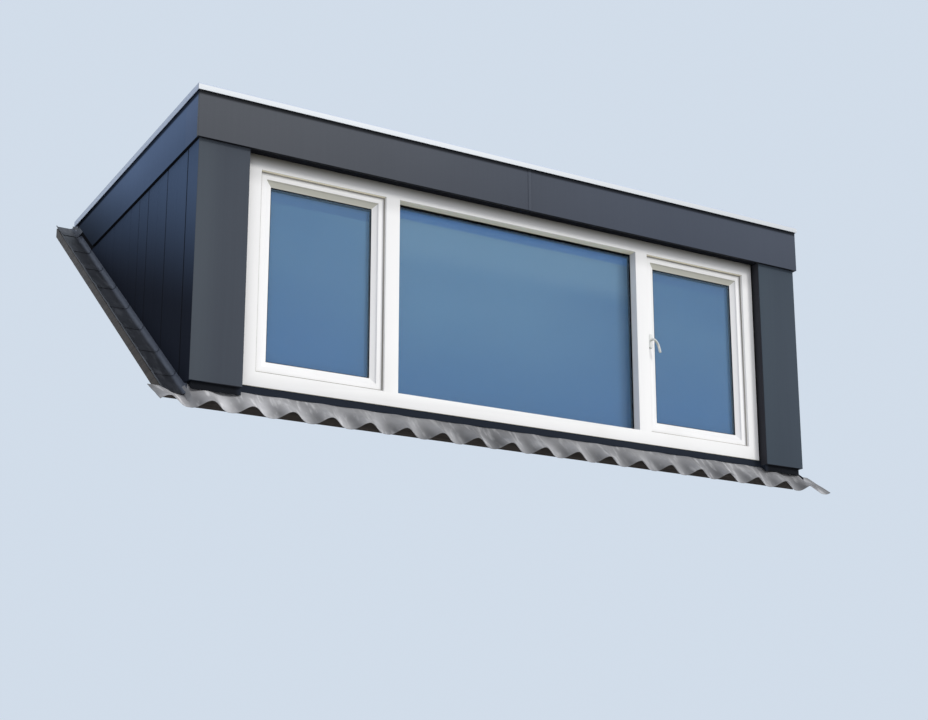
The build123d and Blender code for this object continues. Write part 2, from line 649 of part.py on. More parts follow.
def foot_cutter():
    """What the flashing leaves free: below the apron's end, a slanting corner, and past its plumb foot."""
    foot, outer = slope_s(FLASHING_FOOT_Y), PANEL_FACE + TRAY_WIDTH + 2 * LEAD_THICK
    corner = [(outer, foot - TILE_BUILD_UP), (outer, EAR_TOP), (PANEL_FACE + TRAY_COVE, foot - TILE_BUILD_UP)]
    slant = extrude(TILES.offset(-TILE_BUILD_UP) * make_face(Polyline(*corner, close=True)), 2 * TILE_BUILD_UP)
    line = [slope_point(EAR_TOP, -TRAY_DEPTH), slope_point(APRON_EDGE, LEAD_THICK)]
    line += [slope_point(APRON_EDGE, -2 * TILE_BUILD_UP), slope_point(EAR_TOP, -2 * TILE_BUILD_UP)]
    reach = (0, HALF_FASCIA + APRON_OVERHANG)
    plumb = block(reach, (-HALF_FASCIA, FLASHING_FOOT_Y), (-FRAME_HEIGHT, FRAME_HEIGHT))
    return slant + side_prism(reach, line) + plumb


def flashing_board():
    """The board under the right-hand tray."""
    outer = PANEL_FACE + TRAY_WIDTH
    foot = slope_point(EAR_TOP, -TRAY_DEPTH - LEAD_THICK)[0]
    return slope_band((PANEL_FACE, outer), (foot, REAR_Y), (-TILE_BUILD_UP, -TRAY_DEPTH))


os.makedirs("parts", exist_ok=True)

save("kerb_front", front_kerb())
save_pair("kerb", side_kerb())
save("kerb_rear", rear_kerb())
save_pair("cheek_panel", cheek_panel())
save_pair("cheek_cladding", cheek_cladding())
save("cheek_linings", cheek_lining(), mirrored(cheek_lining()))
save("corner_piers", corner_pier(), mirrored(corner_pier()))
save_pair("corner_board", corner_board())
save("base_strip", base_strip())
save("frame_sill", cross_rail((0, SILL_FACE), SILL_FACE, SILL_FACE + STOP_WIDTH, SILL_FACE - GLAZING_REBATE))
save("frame_head", cross_rail((HEAD_FOOT, FRAME_HEIGHT), HEAD_FOOT, HEAD_FOOT - STOP_WIDTH, HEAD_FOOT + GLAZING_REBATE))
save_pair("frame_jamb", frame_jamb())
save_pair("mullion", mullion())
save_pair("sash", sash())
save_pair("glass", sash_glass())
save("glass_centre", centre_glass())
save("glazing_gaskets", *gaskets())
save("glazing_beads", *beads())
save("handle_plate", handle_plate())
save("handle_lever", handle_lever())
save("lintel_beam", lintel())
save("roof_joists", *joists())
save("roof_deck", roof_deck())
save("roof_membrane", roof_membrane())
save("ceiling_lining", ceiling())
save("window_board", window_board())
save("fascia_front_left", fascia_front_left())
save("fascia_front_right", fascia_front_right())
save_pair("fascia_side", fascia_side())
save("soffit_board", soffit())
save("roof_trim_front", front_trim())
save_pair("roof_trim", side_trim())
save("lead_apron", apron())
save_pair("lead_flashing", mirrored(side_flashing()))
save("flashing_boards", flashing_board(), mirrored(flashing_board()))
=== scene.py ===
# %% [markdown]
# # Dressing a flat-roofed dormer window
# A dormer window is a room front built out over a slope: a window between two boarded cheeks, under a
# flat roof with a deep fascia, and made tight against the slope with sheet lead.
# The solids are loaded as a fixed frame, in metres, and this script gives every surface its finish.
# Where a solid is too plain for its look, a new piece is modelled in its place.

# %% Load the frame
import bpy
from math import cos, pi, radians, sin, tan
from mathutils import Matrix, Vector, noise


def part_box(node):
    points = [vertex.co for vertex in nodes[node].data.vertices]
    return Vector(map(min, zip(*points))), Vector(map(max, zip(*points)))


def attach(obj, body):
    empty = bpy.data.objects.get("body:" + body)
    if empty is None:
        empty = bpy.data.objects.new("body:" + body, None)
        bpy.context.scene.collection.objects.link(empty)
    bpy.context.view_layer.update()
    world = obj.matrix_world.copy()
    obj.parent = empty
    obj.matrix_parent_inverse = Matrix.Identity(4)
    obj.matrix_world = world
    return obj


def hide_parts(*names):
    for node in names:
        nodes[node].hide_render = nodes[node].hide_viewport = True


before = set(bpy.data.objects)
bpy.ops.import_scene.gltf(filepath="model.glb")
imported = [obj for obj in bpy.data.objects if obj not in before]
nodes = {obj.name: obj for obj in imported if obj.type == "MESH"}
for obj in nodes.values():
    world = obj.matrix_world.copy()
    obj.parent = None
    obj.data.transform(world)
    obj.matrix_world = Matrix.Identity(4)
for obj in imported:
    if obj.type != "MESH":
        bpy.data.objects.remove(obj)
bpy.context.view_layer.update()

# %% [markdown]
# ## The camera
# The dormer is seen from well below and from its left, so that is where the camera stands.
# Its place, angles and focal length were solved from the edges of the fascia and the window.
# Upright edges stay upright when the lens is shifted instead of tilted, and a part of that shift is kept.

# %% Camera
PHOTO_WIDTH = 928
FOCAL_PIXELS = 1561.6
LENS_SHIFT_PIXELS = 90.0
SENSOR_WIDTH = 36
CAMERA_PLACE = (-4.5065, -7.1988, -2.0543)
CAMERA_TILT = radians(13.548)
CAMERA_TURN = radians(29.994)

bpy.ops.object.camera_add(location=CAMERA_PLACE, rotation=(pi / 2 + CAMERA_TILT, 0, -CAMERA_TURN))
camera = bpy.context.object
camera.data.sensor_width = SENSOR_WIDTH
camera.data.lens = FOCAL_PIXELS / PHOTO_WIDTH * SENSOR_WIDTH
camera.data.shift_y = LENS_SHIFT_PIXELS / PHOTO_WIDTH
bpy.context.scene.camera = camera
print("lens", round(camera.data.lens, 1), "mm")

# %% [markdown]
# ## Shader maths as plain arithmetic
# A node material is a drawing of a formula. Wires are slow to place by hand and hard to read back,
# so one small class wraps a socket, and adding or multiplying two of them adds the Math node.
# A second class holds a node tree and adds any other node to it, by its type, settings and sockets.

# %% Values and node trees
class Value:
    """A socket of a node tree that takes part in arithmetic."""

    def __init__(self, owner, socket):
        self.owner = owner
        self.socket = socket

    def maths(self, operation, first, second):
        return self.owner.node("Math", {"operation": operation}, {0: first, 1: second})

    def __add__(self, other):
        return self.maths("ADD", self, other)

    def __sub__(self, other):
        return self.maths("SUBTRACT", self, other)

    def __rsub__(self, other):
        return self.maths("SUBTRACT", other, self)

    def __mul__(self, other):
        return self.maths("MULTIPLY", self, other)

    __radd__ = __add__
    __rmul__ = __mul__


class Tree:
    """A node tree, to which nodes are added by type."""

    def __init__(self, tree):
        self.tree = tree

    def node(self, kind, settings, inputs, output=0):
        """Adds a node: its settings first, then the values or links of its sockets."""
        node = self.tree.nodes.new("ShaderNode" + kind)
        for name, value in settings.items():
            setattr(node, name, value)
        for name, value in inputs.items():
            self.feed(node.inputs[name], value)
        return Value(self, node.outputs[output])

    def feed(self, socket, value):
        """Links a socket to a value, or sets it to a number or a colour."""
        if isinstance(value, Value):
            self.tree.links.new(value.socket, socket)
        else:
            socket.default_value = value

    def mix(self, share, first, second):
        """A colour between two colours."""
        sockets = {0: share, 6: self.opaque(first), 7: self.opaque(second)}
        return self.node("Mix", {"data_type": "RGBA"}, sockets, output=2)

    def opaque(self, colour):
        return colour if isinstance(colour, Value) else (*colour, 1.0)


print("node arithmetic ready")

# %% [markdown]
# ## One finish
# All finishes need the same few patterns and places: a soft noise, a ramp, the height over the slope, the
# faces that look down. Each is a method of one class. Patterns read Object coordinates, which here are
# metres on the part itself, so they keep their true size.

# %% Finishes
ROOF_PITCH = radians(36)


class Finish(Tree):
    """One material, with its shader's fixed values set by name."""

    def __init__(self, name, **fixed):
        self.material = bpy.data.materials.new(name)
        self.material.use_nodes = True
        super().__init__(self.material.node_tree)
        self.shader = self.tree.nodes["Principled BSDF"]
        self.place = self.node("TexCoord", {}, {}, output="Object")
        for words, value in fixed.items():
            self.set(words, value)

    def set(self, words, value):
        """Gives the shader's socket of that name, such as base_color, a value or a link."""
        name = "Specular IOR Level" if words == "specular" else words.replace("_", " ").title()
        self.feed(self.shader.inputs[name], value)

    def axis(self, letter):
        return self.node("SeparateXYZ", {}, {0: self.place}, output="xyz".index(letter))

    def noise(self, scale, detail=2.0, turn=(0, 0, 0)):
        """A soft random pattern, from 0 to 1, with this many patches to the metre along each axis."""
        where = self.node("Mapping", {}, {"Vector": self.place, "Rotation": turn, "Scale": scale})
        return self.node("TexNoise", {}, {"Vector": where, "Scale": 1.0, "Detail": detail}, output=0)

    def ramp(self, value, start, end):
        """0 before start, 1 after end and a soft rise between them."""
        limits = {"Value": value, "From Min": start, "From Max": end}
        return self.node("MapRange", {"interpolation_type": "SMOOTHSTEP"}, limits)

    def scaled(self, colour, factor):
        """A colour made lighter or darker by a factor."""
        return self.node("VectorMath", {"operation": "SCALE"}, {0: colour, "Scale": factor})

    def off_centre(self):
        """How far a point is from the middle of the dormer, to either side."""
        return self.node("Math", {"operation": "ABSOLUTE"}, {0: self.axis("x")})

    def over_roof(self):
        """How high a point stands over the slope, square to it."""
        return self.axis("z") * cos(ROOF_PITCH) - self.axis("y") * sin(ROOF_PITCH)

    def underside(self, start=0.25, end=0.85):
        """1 on faces that look down and 0 on the others, by how steeply they lean over."""
        normal = self.node("NewGeometry", {}, {}, output="Normal")
        return self.ramp(0 - self.node("SeparateXYZ", {}, {0: normal}, output="Z"), start, end)

    def relief(self, height, depth):
        """Bumps of this depth in metres, from a height between 0 and 1."""
        sockets = {"Height": height, "Distance": depth, "Strength": 1.0}
        self.set("normal", self.node("Bump", {}, sockets))


print("finish tools ready")

# %% [markdown]
# ## Boards
# The fascia, the corners and the cheeks are satin anthracite boards, with a fine upright grain and faint
# clouds where rain has dried. The cheeks carry a painted blue sky reflection under the eaves and painted
# shade, nearly black by the lead. A painted picture could show that, but it would blur close by. So each
# board takes a rule for its colour, written in places on the dormer, and one function adds what all boards
# share.

# %% What all boards share
GRAIN_DEPTH = 0.00008


def satin_board(name, rule, specular=0.1, roughness=0.45):
    """A satin board: the colour of its rule, with faint clouds and an upright grain."""
    board = Finish(name, specular=specular)
    clouds = board.noise((1.3, 1.3, 0.7), 3)
    fibre = board.noise((70, 70, 1.2), 3)
    board.set("base_color", board.scaled(rule(board), 0.86 + clouds * 0.2 + fibre * 0.08))
    board.set("roughness", roughness + fibre * 0.06)
    board.relief(fibre, GRAIN_DEPTH)
    return board.material


# %% [markdown]
# The fascia's front has painted shade that deepens a little from left to right, and its sides painted shade
# that deepens down the slope. A painted shadow runs along all of it as a dark line under the roof trim.
# The sides carry a painted reflection of the blue daylight, more so on the left, where no sun falls.

# %% Fascia colours
DEEP_SHADE = (0.010, 0.011, 0.014)
TRIM_FOOT_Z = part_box("roof_trim_front")[0].z
TRIM_SHADOW_Z = (TRIM_FOOT_Z - 0.028, TRIM_FOOT_Z - 0.012)
FRONT_FADE_X = (-1.9, 1.2)
FRONT_GREYS = ((0.096, 0.103, 0.117), (0.071, 0.083, 0.110))
FASCIA_START, FASCIA_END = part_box("fascia_side_left")
SIDE_JOINT_Y = FASCIA_START.y + 0.17
SIDE_HEIGHTS = (0.05, 0.80)
SIDE_BLUES = ((0.026, 0.035, 0.053), (0.112, 0.166, 0.280))
SIDE_FRONT = (0.120, 0.172, 0.285)


def fascia_edges(board, colour):
    """Darkens a fascia board with a painted shadow under the trim and painted shade on its lower edge."""
    line = board.ramp(board.axis("z"), *TRIM_SHADOW_Z)
    trim_shadowed = board.scaled(colour, 1 - line * 0.8)
    return board.mix(board.underside(), trim_shadowed, DEEP_SHADE)


def fascia_rule(board):
    # Painted shade: the front darkens from left to right.
    across = board.ramp(board.axis("x"), *FRONT_FADE_X)
    return fascia_edges(board, board.mix(across, *FRONT_GREYS))


def less_blue_on_right(board, colour):
    """A side's painted sky reflection, with some of its blue taken out on the right, where the sun falls."""
    right_side = board.ramp(board.axis("x"), -0.1, 0.1)
    return board.node("HueSaturation", {}, {"Saturation": 1 - right_side * 0.5, "Color": colour})


def fascia_side_rule(board):
    """Painted shade that deepens towards the slope and lower down, over a painted blue sky reflection; a
    short front length keeps one blue.
    """
    length = board.mix(board.ramp(board.over_roof(), *SIDE_HEIGHTS), *SIDE_BLUES)
    behind = board.ramp(board.axis("y"), SIDE_JOINT_Y, SIDE_JOINT_Y + 0.003)
    upright = board.ramp(board.axis("z"), FASCIA_START.z, TRIM_FOOT_Z)
    colour = board.scaled(board.mix(behind, SIDE_FRONT, length), 0.80 + upright * 0.2)
    return fascia_edges(board, less_blue_on_right(board, colour))


fascia_grey = satin_board("fascia_grey", fascia_rule, 0.08)
fascia_side_grey = satin_board("fascia_side_grey", fascia_side_rule, 0.0, 0.6)
print("trim shadow line", [round(z, 3) for z in TRIM_SHADOW_Z])

# %% [markdown]
# The cheek's boards meet in narrow joints, and the front ones show more than those far back.
# The joints are cut in the solid, and the rule only deepens their colour, as shade gathers in them.

# %% Cheek colours
CHEEK_FRONT_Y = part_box("cheek_cladding_left")[0].y
CHEEK_JOINTS = {0.0: 0.8, 0.310: 0.65, 0.620: 0.55, 0.775: 0.4}
JOINT_HALF_WIDTH = 0.006
CHEEK_LEAN = 0.42
CHEEK_LEVELS = (0.46, 1.28)
CHEEK_BLUES = ((0.0155, 0.019, 0.029), (0.073, 0.111, 0.190))
EAVES_SHADE_Z = (FASCIA_START.z - 0.007, FASCIA_START.z - 0.001)


def cheek_joints(board):
    """How dark each joint between the cheek's boards is: less so further back, and 0 off the joints."""
    darkness = 0
    for place, share in CHEEK_JOINTS.items():
        beside = {0: board.axis("y"), 1: CHEEK_FRONT_Y + place, 2: JOINT_HALF_WIDTH}
        darkness = board.node("Math", {"operation": "COMPARE"}, beside) * share + darkness
    return darkness


def cheek_rule(board):
    """Painted shade, nearly black low down and at the back; a painted blue sky reflection under the eaves;
    and a painted shade line right under them.
    """
    level = board.axis("z") - board.axis("y") * CHEEK_LEAN
    open_face = board.mix(board.ramp(level, *CHEEK_LEVELS), *CHEEK_BLUES)
    # Painted shade: a dark line right under the side fascia.
    eaves = board.ramp(board.axis("z"), *EAVES_SHADE_Z)
    dark = board.node("Math", {"operation": "MAXIMUM"}, {0: cheek_joints(board), 1: eaves})
    return board.mix(dark, less_blue_on_right(board, open_face), DEEP_SHADE)


cheek_grey = satin_board("cheek_grey", cheek_rule, 0.0, 0.6)
print("cheek joints", len(CHEEK_JOINTS))

# %% [markdown]
# A corner board is folded round its pier: grey in front with a painted sheen towards its left, the cheek's
# painted colours outside, and painted shade in the inner reveal. It is one solid, so one finish tells its
# faces apart by place.

# %% Corner, soffit and strip colours
REVEAL_SHADE = (0.044, 0.045, 0.053)
CORNER_OUTSIDE_X = (1.88, 1.92)
# Painted sheen near each corner's left edge; the two corners' greys also differ a little by how each is lit.
CORNER_SHINE = (0.02, 0.16)
LEFT_CORNER = ((0.077, 0.090, 0.107), (0.064, 0.074, 0.091))
RIGHT_CORNER = ((0.065, 0.083, 0.104), (0.061, 0.077, 0.098))
SOFFIT_SHADE_GREY = (0.016, 0.017, 0.020)
STRIP_GREYS = ((0.014, 0.018, 0.027), (0.022, 0.027, 0.038))
PIER_INSIDE_X = (1.70, 1.74)


def corner_rule(node, left, right):
    """The colour of a corner board whose front goes from a lighter grey with painted sheen at its left to
    another at its right.
    """
    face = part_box(node)[0]

    def rule(board):
        shine = board.ramp(board.axis("x"), *(face.x + place for place in CORNER_SHINE))
        front = board.mix(shine, left, right)
        outer = board.ramp(board.off_centre(), *CORNER_OUTSIDE_X)
        side = board.mix(outer, REVEAL_SHADE, cheek_rule(board))
        behind = board.ramp(board.axis("y"), face.y + 0.002, face.y + 0.005)
        board.set("coat_weight", (1 - behind) * 0.06)
        board.set("coat_roughness", 0.4)
        return board.mix(behind, front, side)

    return rule


# Painted shade: the soffit is nearly black for the shade it lies in and the dark roof it mirrors.
def soffit_shade_rule(board):
    return board.mix(board.noise((3, 3, 3)), DEEP_SHADE, SOFFIT_SHADE_GREY)


def strip_rule(board):
    """The strip under the window, which is in deep shade below the piers."""
    piers = board.ramp(board.off_centre(), *PIER_INSIDE_X)
    open_face = board.mix(board.noise((2, 2, 2)), *STRIP_GREYS)
    return board.mix(piers, open_face, DEEP_SHADE)


left_rule = corner_rule("corner_board_left", *LEFT_CORNER)
right_rule = corner_rule("corner_board_right", *RIGHT_CORNER)
corner_left_grey = satin_board("corner_left_grey", left_rule, 0.0, 0.5)
corner_right_grey = satin_board("corner_right_grey", right_rule, 0.0, 0.5)
soffit_painted_shade = satin_board("soffit_painted_shade", soffit_shade_rule, 0.0)
strip_grey = satin_board("strip_grey", strip_rule, 0.05)
print("boards", len(bpy.data.materials))

# %% [markdown]
# ## Window profiles
# The frame and sashes are white plastic profiles, welded at the corners. New ones would be dead white:
# these have a trace of warm dirt in soft clouds, and a faint satin ripple. The head has painted shade close
# under the soffit, more at its left end, with fainter painted shade a little lower. Faces that lean over
# have painted shade, and faces that look down have painted warm light reflected from what lies below.

# %% White profile finish
SOFFIT_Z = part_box("soffit_board")[0].z
UNDER_SOFFIT_SHADE_Z = (SOFFIT_Z - 0.084, SOFFIT_Z + 0.010)
UNDER_SOFFIT_SHADE_THINS_X = (-1.6, -0.8)
BROAD_SHADE_Z = (SOFFIT_Z - 0.190, SOFFIT_Z - 0.100)
UNDER_SOFFIT_SHADE = (0.125, 0.115, 0.085)
GRIME = (0.64, 0.62, 0.57)
LEANING_SHADE = (0.50, 0.49, 0.42)
HANGING_BOUNCE_LIGHT = (0.99, 0.92, 0.70)
RIPPLE_DEPTH = 0.00006


def white_finish(name, colour, roughness, slope=LEANING_SHADE, under=HANGING_BOUNCE_LIGHT):
    """White plastic or paint, with painted shade on faces that lean over and painted warm light from below
    on those that look down.
    """
    white = Finish(name, specular=0.3)
    clouds = white.noise((3, 3, 2), 3)
    speck = white.noise((260, 260, 90), 2)
    grime = white.ramp(clouds, 0.52, 0.85) * 0.15
    # Painted shade close under the soffit, deeper at the left end, and a fainter painted shade a little
    # lower.
    thinner = white.ramp(white.axis("x"), *UNDER_SOFFIT_SHADE_THINS_X) * 0.009
    under_soffit = white.ramp(white.axis("z") - thinner, *UNDER_SOFFIT_SHADE_Z)
    broad_shade = white.ramp(white.axis("z"), *BROAD_SHADE_Z)
    open_face = white.scaled(white.mix(grime, colour, GRIME), 1 - broad_shade * 0.16)
    shaded_under_soffit = white.mix(under_soffit, open_face, UNDER_SOFFIT_SHADE)
    # Painted shade on faces that lean over, and painted warm light from below on faces that look down.
    leaning = white.mix(white.underside(0.15, 0.50), shaded_under_soffit, slope)
    white.set("base_color", white.mix(white.underside(0.90, 0.98), leaning, under))
    white.set("roughness", roughness + clouds * 0.1)
    white.relief(speck, RIPPLE_DEPTH)
    return white.material


frame_white = white_finish("frame_white", (0.925, 0.92, 0.91), 0.28)
sash_white = white_finish("sash_white", (0.93, 0.925, 0.92), 0.26)
# The handle and the window board have their own painted shade on leaning and downward faces.
handle_white = white_finish(
    "handle_white", (0.78, 0.79, 0.77), 0.25, slope=(0.45, 0.48, 0.43), under=(0.40, 0.43, 0.38)
)
board_white = white_finish(
    "board_white", (0.80, 0.79, 0.76), 0.35, slope=(0.74, 0.73, 0.70), under=(0.70, 0.69, 0.66)
)
print("soffit shade from", round(UNDER_SOFFIT_SHADE_Z[0], 3), "to", round(UNDER_SOFFIT_SHADE_Z[1], 3))

# %% [markdown]
# ## Roof trims
# The front trim has a white coat, a thin blue-grey lip along its top edge and painted shade to its right.
# The side trims are aluminium, darker and bluer by painted shade and sky reflection, with the fine
# lengthwise grain that the drawing left.

# %% Trim finishes
LIP_Z = (TRIM_FOOT_Z + 0.026, TRIM_FOOT_Z + 0.030)
TRIM_FADE_X = (-1.2, 2.2)
LIP_BLUE = (0.56, 0.64, 0.78)


def trim_white_finish():
    trim = Finish("trim_white", specular=0.4)
    clouds = trim.noise((2, 2, 2), 3)
    lip = trim.ramp(trim.axis("z"), *LIP_Z)
    body = trim.mix(clouds * 0.6, (0.88, 0.91, 0.93), (0.795, 0.84, 0.89))
    # Painted shade: the front trim darkens towards its right end.
    fade_shaded = trim.scaled(body, 1 - trim.ramp(trim.axis("x"), *TRIM_FADE_X) * 0.24)
    trim.set("base_color", trim.mix(lip * 0.8, fade_shaded, LIP_BLUE))
    trim.set("roughness", 0.32 + clouds * 0.1)
    return trim.material


def trim_finish():
    trim = Finish("trim_aluminium", metallic=0.4, specular=0.4)
    drawn = trim.noise((300, 3, 300), 3)
    # Painted shade and a painted sky reflection make these greys darker and bluer than the front trim.
    trim.set("base_color", trim.mix(drawn, (0.38, 0.44, 0.56), (0.52, 0.58, 0.69)))
    trim.set("roughness", 0.3 + drawn * 0.15)
    trim.relief(drawn, 0.0001)
    return trim.material


trim_white = trim_white_finish()
trim_aluminium = trim_finish()
print("trim lip from", round(LIP_Z[0], 3))

# %% [markdown]
# ## Rubber and plaster
# Gaskets, seals and the roof covering are rubber, matt and finely grained, with pale patches where water
# has dried. The room side is painted plasterboard, which keeps the stipple of the roller.

# %% Rubber and plaster finishes
def rubber_finish(name, colour, roughness, scale, depth, specular=0.3):
    rubber = Finish(name, specular=specular)
    grain = rubber.noise((scale, scale, scale), 4)
    patches = rubber.noise((1.2, 1.2, 1.2), 4)
    pale = [min(1, 2.4 * c + 0.02) for c in colour]
    rubber.set("base_color", rubber.mix(rubber.ramp(patches, 0.4, 0.8) * 0.5, colour, pale))
    rubber.set("roughness", roughness + grain * 0.15)
    rubber.relief(grain, depth)
    return rubber.material


def plaster_finish():
    plaster = Finish("painted_plaster", specular=0.25)
    roller = plaster.noise((140, 140, 140), 3)
    patches = plaster.noise((1.1, 1.1, 1.1), 3)
    plaster.set("base_color", plaster.mix(patches * 0.4, (0.74, 0.73, 0.70), (0.66, 0.65, 0.62)))
    plaster.set("roughness", 0.7 + roller * 0.15)
    plaster.relief(roller, 0.0003)
    return plaster.material


gasket_black = rubber_finish("gasket_black", (0.012, 0.012, 0.013), 0.5, 400, 0.0001)
seal_grey = rubber_finish("seal_grey", (0.30, 0.285, 0.26), 0.5, 400, 0.0001)
lip_black = rubber_finish("lip_black", (0.004, 0.004, 0.0045), 0.8, 400, 0.0001, specular=0.0)
spacer_dark = rubber_finish("spacer_dark", (0.014, 0.015, 0.017), 0.4, 300, 0.0001)
roof_sheet = rubber_finish("roof_sheet", (0.040, 0.042, 0.046), 0.62, 220, 0.0006)
painted_plaster = plaster_finish()
print("rubber and plaster ready")

# %% [markdown]
# ## Timber
# Kerbs, joists and piers are pine, and those that lie outside are stained dark. Grain is a noise that is
# stretched along the board and folded into bands, so each direction of a board has its own finish.
# The outer faces of the piers are wrapped in black foil, which also stands in for the shade deep in a joint,
# so that no bare wood shows there.

# %% Timber finishes
UP_SLOPE = (-ROOF_PITCH, 0, 0)
PINE = ((0.50, 0.38, 0.25), (0.34, 0.23, 0.13))
STAINED = ((0.070, 0.060, 0.052), (0.040, 0.034, 0.030))
PLYWOOD = ((0.46, 0.35, 0.23), (0.33, 0.24, 0.14))
ACROSS = (1.2, 34, 34)
DEEP = (34, 1.2, 34)
UPRIGHT = (34, 34, 1.2)
PLY_FACE = (9, 1.2, 60)
FOIL_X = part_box("corner_piers")[1].x - 0.002
NO_FOIL_X = 10.0


def timber_finish(name, pale, dark, stretch, turn=(0, 0, 0), foil_x=NO_FOIL_X):
    """Wood with its grain along the axis of the small stretch, under black foil further out than foil_x."""
    wood = Finish(name, specular=0.25)
    warp = wood.noise([0.35 * s for s in stretch], 2, turn)
    rings = wood.noise(stretch, 5, turn)
    band = wood.node("Math", {"operation": "PINGPONG"}, {0: warp * 6.0 + rings * 1.5, 1: 0.5}) * 2.0
    fibre = wood.noise([4 * s for s in stretch], 3, turn)
    bare = wood.mix(band * 0.75 + fibre * 0.25, pale, dark)
    foil = wood.ramp(wood.off_centre(), foil_x, foil_x + 0.001)
    wood.set("base_color", wood.mix(foil, bare, DEEP_SHADE))
    wood.set("roughness", 0.55 + fibre * 0.2)
    wood.relief(band * 0.5 + fibre * 0.5, 0.0004)
    return wood.material


pine_across = timber_finish("pine_across", *PINE, ACROSS)
pine_upright = timber_finish("pine_upright", *PINE, UPRIGHT, foil_x=FOIL_X)
pine_depth = timber_finish("pine_depth", *PINE, DEEP)
pine_upslope = timber_finish("pine_upslope", *PINE, DEEP, UP_SLOPE)
stained_upslope = timber_finish("stained_upslope", *STAINED, DEEP, UP_SLOPE)
stained_across = timber_finish("stained_across", *STAINED, ACROSS)
plywood = timber_finish("plywood", *PLYWOOD, PLY_FACE)
print("finishes so far", len(bpy.data.materials))

# %% [markdown]
# ## Sheet lead
# Lead weathers to a soft grey patina. Rain draws pale streaks down the slope, the hollows stay darker,
# and every blow of the dressing tool leaves a shallow facet. The streaks are a noise that is stretched
# along the slope, so its pattern is turned to that pitch.

# %% Lead finishes
WAVE_PITCH = 0.2155
WAVE_CREST_X = 0.054
FACET_DEPTH = 0.0018
FLANK_LIGHT_HEIGHTS = (0.095, 0.065)
LEFT_END_X = (-0.4, -1.9)
RIGHT_END_X = (0.6, 1.9)
APRON_GREYS = ((0.21, 0.21, 0.218), (0.34, 0.34, 0.35), (0.52, 0.52, 0.53))
TRAY_SHADE_GREYS = ((0.030, 0.032, 0.038), (0.055, 0.058, 0.068), (0.11, 0.115, 0.13))
UPSTAND_SKY_REFLECTION = (0.130, 0.155, 0.215)
UPSTAND_X = (1.975, 2.0)


def lead_patina(lead, dark, mid, pale):
    """Blotches of two greys with pale streaks down the slope."""
    blotch = lead.noise((4, 4, 4), 4, UP_SLOPE)
    cloud = lead.noise((1.3, 1.3, 1.3), 2)
    streak = lead.noise((38, 3.2, 12), 5, UP_SLOPE)
    worn = lead.mix(lead.ramp(blotch, 0.32, 0.68), dark, mid)
    streaked = lead.mix(lead.ramp(streak, 0.50, 0.74) * 0.7, worn, pale)
    lead.set("roughness", 0.45 + blotch * 0.25)
    facet = lead.noise((26, 17, 20), 2, UP_SLOPE)
    lead.relief(facet * 0.8 + streak * 0.2, FACET_DEPTH)
    return lead.scaled(streaked, 0.75 + cloud * 0.5)


def apron_finish():
    """Painted light on one flank of each wave and painted shade on the other, and lighter towards both ends
    of the apron.
    """
    lead = Finish("lead_apron_grey", metallic=0.1, specular=0.35)
    colour = lead_patina(lead, *APRON_GREYS)
    turn = (lead.axis("x") - WAVE_CREST_X) * (2 * pi / WAVE_PITCH)
    flank = lead.node("Math", {"operation": "SINE"}, {0: turn})
    # Painted light and shade on the wave flanks, growing towards the lower edge.
    flank_light = flank * lead.ramp(lead.over_roof(), *FLANK_LIGHT_HEIGHTS)
    left_end = lead.ramp(lead.axis("x"), *LEFT_END_X)
    right_end = lead.ramp(lead.axis("x"), *RIGHT_END_X)
    ends = 0.85 + left_end * 0.62 + right_end * 0.3
    lead.set("base_color", lead.scaled(colour, (1 + flank_light * 0.45) * ends))
    return lead.material


def side_lead_finish():
    """Darker than the apron by painted shade, and bluer on its upstand by a painted sky reflection."""
    lead = Finish("lead_side_grey", metallic=0.1, specular=0.35)
    tray = lead_patina(lead, *TRAY_SHADE_GREYS)
    upstand = lead.mix(0.6, lead.scaled(tray, 1.3), UPSTAND_SKY_REFLECTION)
    lead.set("base_color", lead.mix(lead.ramp(lead.off_centre(), *UPSTAND_X), upstand, tray))
    return lead.material


lead_apron_grey = apron_finish()
lead_side_grey = side_lead_finish()
print("lead ready, wave pitch", WAVE_PITCH)

# %% [markdown]
# ## Working on one piece at a time
# Operators act on whatever is selected, so each step first deselects everything.
# Modifiers are applied at once, so that a piece is always a plain mesh that the next step can shape.

# %% Selecting, shaping and closing
SMOOTH_ANGLE = radians(35)


def only(piece):
    """Selects one piece and nothing else."""
    bpy.ops.object.select_all(action="DESELECT")
    piece.select_set(True)
    bpy.context.view_layer.objects.active = piece


def object_mode():
    bpy.ops.object.mode_set(mode="OBJECT")


def open_faces(piece, test=None):
    """Opens a piece in edit mode with the faces selected that pass a test, or with all of them."""
    only(piece)
    bpy.ops.object.mode_set(mode="EDIT")
    bpy.ops.mesh.select_mode(type="FACE")
    bpy.ops.mesh.select_all(action="SELECT" if test is None else "DESELECT")
    if test is not None:
        object_mode()
        for face in piece.data.polygons:
            face.select = test(face)
        bpy.ops.object.mode_set(mode="EDIT")


def modify(piece, kind, **settings):
    """Adds one modifier and applies it."""
    only(piece)
    modifier = piece.modifiers.new(kind.lower(), kind)
    for name, value in settings.items():
        setattr(modifier, name, value)
    bpy.ops.object.modifier_apply(modifier=modifier.name)


def close(piece, smooth_angle=SMOOTH_ANGLE):
    """Shades gentle turns smooth and real corners sharp."""
    only(piece)
    bpy.ops.object.shade_smooth_by_angle(angle=smooth_angle)


def dress(piece, material, slot, *replaced):
    """Gives a piece its finish and its body, and hides the solids that it stands for; the slot is not used.
    """
    piece.data.materials.clear()
    piece.data.materials.append(material)
    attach(piece, "root")
    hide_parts(*replaced)
    return piece


print("modelling tools ready")

